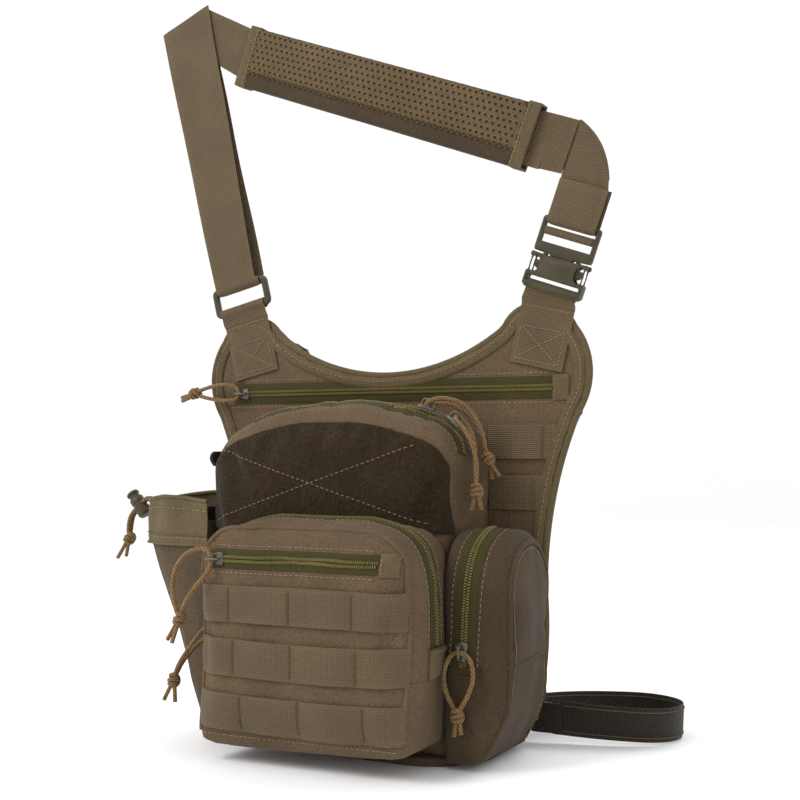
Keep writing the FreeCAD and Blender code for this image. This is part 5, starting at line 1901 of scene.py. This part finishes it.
def make_seams(pouch, pocket, side, thread):
    """Piped edges and their stitches, the seams that cross the pockets, and the pouch's stub."""
    pouch_skin, pocket_skin = Skin(pouch), Skin(pocket)
    track = Track([p for p in pouch_outline() if p.y > 20], POUCH_MIDDLE)
    piping = ridge(pouch_skin, track, 4.0, 2.0, -120)

    def beside(t):
        p, out = track.at(t * track.length)
        return front(*(p - out * 9.5))
    sew(thread, pouch_skin, beside, track.length, pitch=SEAM_PITCH)
    face = Track(traced(pocket_outline()), POCKET_MIDDLE)
    piping2 = ridge(pocket_skin, face, 2.6, 1.9, FROM_FRONT, end=0.7)
    place(piping.object("pouch_seam", FABRIC), "bag", "body_fabric")
    place(piping2.object("pocket_seam", FABRIC), "bag", "body_fabric")
    low, high = box("front_pocket")
    sew_line(thread, pocket_skin, (low.x + 5, 20), (high.x - 5, 21))
    arch = [p for p in traced(side_arch()) if p.y > 6]
    centre = Vector(((box("side_pocket")[0].y + box("side_pocket")[1].y) / 2, 80))
    edge = Pile()
    side_skin = Skin(side)
    line = []
    for p in arch:
        q = p + (centre - p).normalized() * 7.5
        at, n = side_skin.hit(*from_right(q.x, q.y))
        line.append(at + n * 0.2)
    edge.tube(line, 1.7, 8)
    place(edge.object("side_pocket_seam", FABRIC_SHADED), "bag", "body_fabric")
    for a, b in zip(line, line[1:]):
        inward = (Vector((0, centre.x, centre.y)) - Vector((0, a.y, a.z))).normalized() * 4
        p, n = side_skin.hit(*from_right(a.y + inward.y, a.z + inward.z))
        q, _ = side_skin.hit(*from_right(b.y + inward.y, b.z + inward.z))
        thread.stitch(p + n * 0.1, p.lerp(q, 0.75) + n * 0.1, n)
    garage_low = box("gusset_zip_garage")[0].z
    for name, skin, casts, radius, material in (
            ("side_pocket_fold", side_skin, [from_right(y, 72 + 1.5 * math.sin(y / 12))
                                             for y in range(-28, 44, 3)], 1.3, FABRIC_SHADED),
            ("side_pocket_cross_seam", side_skin, [front(x, 63.0) for x in range(87, 116, 3)],
             0.9, FABRIC_SHADED),
            ("pocket_cross_seam", pocket_skin, [from_right(y, garage_low - 1, 130)
                                                for y in range(-80, -44, 4)], 1.0, FABRIC)):
        crossing = Pile()
        crossing.tube([skin.hit(*cast)[0] for cast in casts], radius, 8)
        place(crossing.object(name, material), "bag", "body_fabric")
    stub = Pile()
    stub_rows = [[Vector((-118.5 - 3.5 * math.sin(math.pi * j / 6), y, z)) for j, z in
                  enumerate((200, 202, 204, 206, 208, 210, 211))] for y in (-8, -4, 0, 4)]
    stub.sheet(stub_rows, [[p + Vector((2.5, 0, 0)) for p in row] for row in stub_rows])
    place(stub.object("pouch_side_stub", LINING_AND_SHADE), "bag", "body_fabric")


def make_body():
    """The sewn bag: its cushions first, then all that is laid on their final surfaces."""
    panel = make_panel()
    pouch = make_pouch()
    pocket = make_front_pocket()
    side = make_side_pocket()
    make_base()
    pale = make_binding(Skin(panel))
    straight_zip("main_zip", Skin(panel), pale, FROM_PANEL, 16.0, box("main_zip")[1].x + 8)
    straight_zip("front_zip", Skin(pocket), pale, FROM_FRONT, 13.0, box("front_zip")[1].x)
    for name, track, piece in (("arch_zip", arch_track(), pouch), ("gusset_zip", gusset_track(), pocket)):
        y = sum(v.y for v in box(name)) / 2
        curved_zip(name, Skin(piece), pale, radial(track, y), track.length, 2.0)
    curved_zip("side_zip", Skin(side), pale, *side_zip_source(), 1.8)
    make_rows(pocket)
    make_panel_rows(panel)
    make_tabs(panel, pocket, pale)
    make_loop_panel(pouch, pale)
    make_seams(pouch, pocket, side, pale)
    make_anchor("left", LEFT, LEFT, 38, STRAP_HALF)
    make_anchor("right", RIGHT, BUCKLE, 0, 18.5)
    bottle = make_bottle_pouch()
    place(pale.object("body_stitches", THREAD), "bag", "body_fabric")
    place(bottle.object("collar_stitches", THREAD), "bag", "collar_nylon")


make_camera()
make_stage()
make_body()
make_sliders()
make_cord_lock()
make_cords()
make_hardware()
make_left_leg()
make_top_run()
make_pad()
make_right_leg()
make_waist_strap()
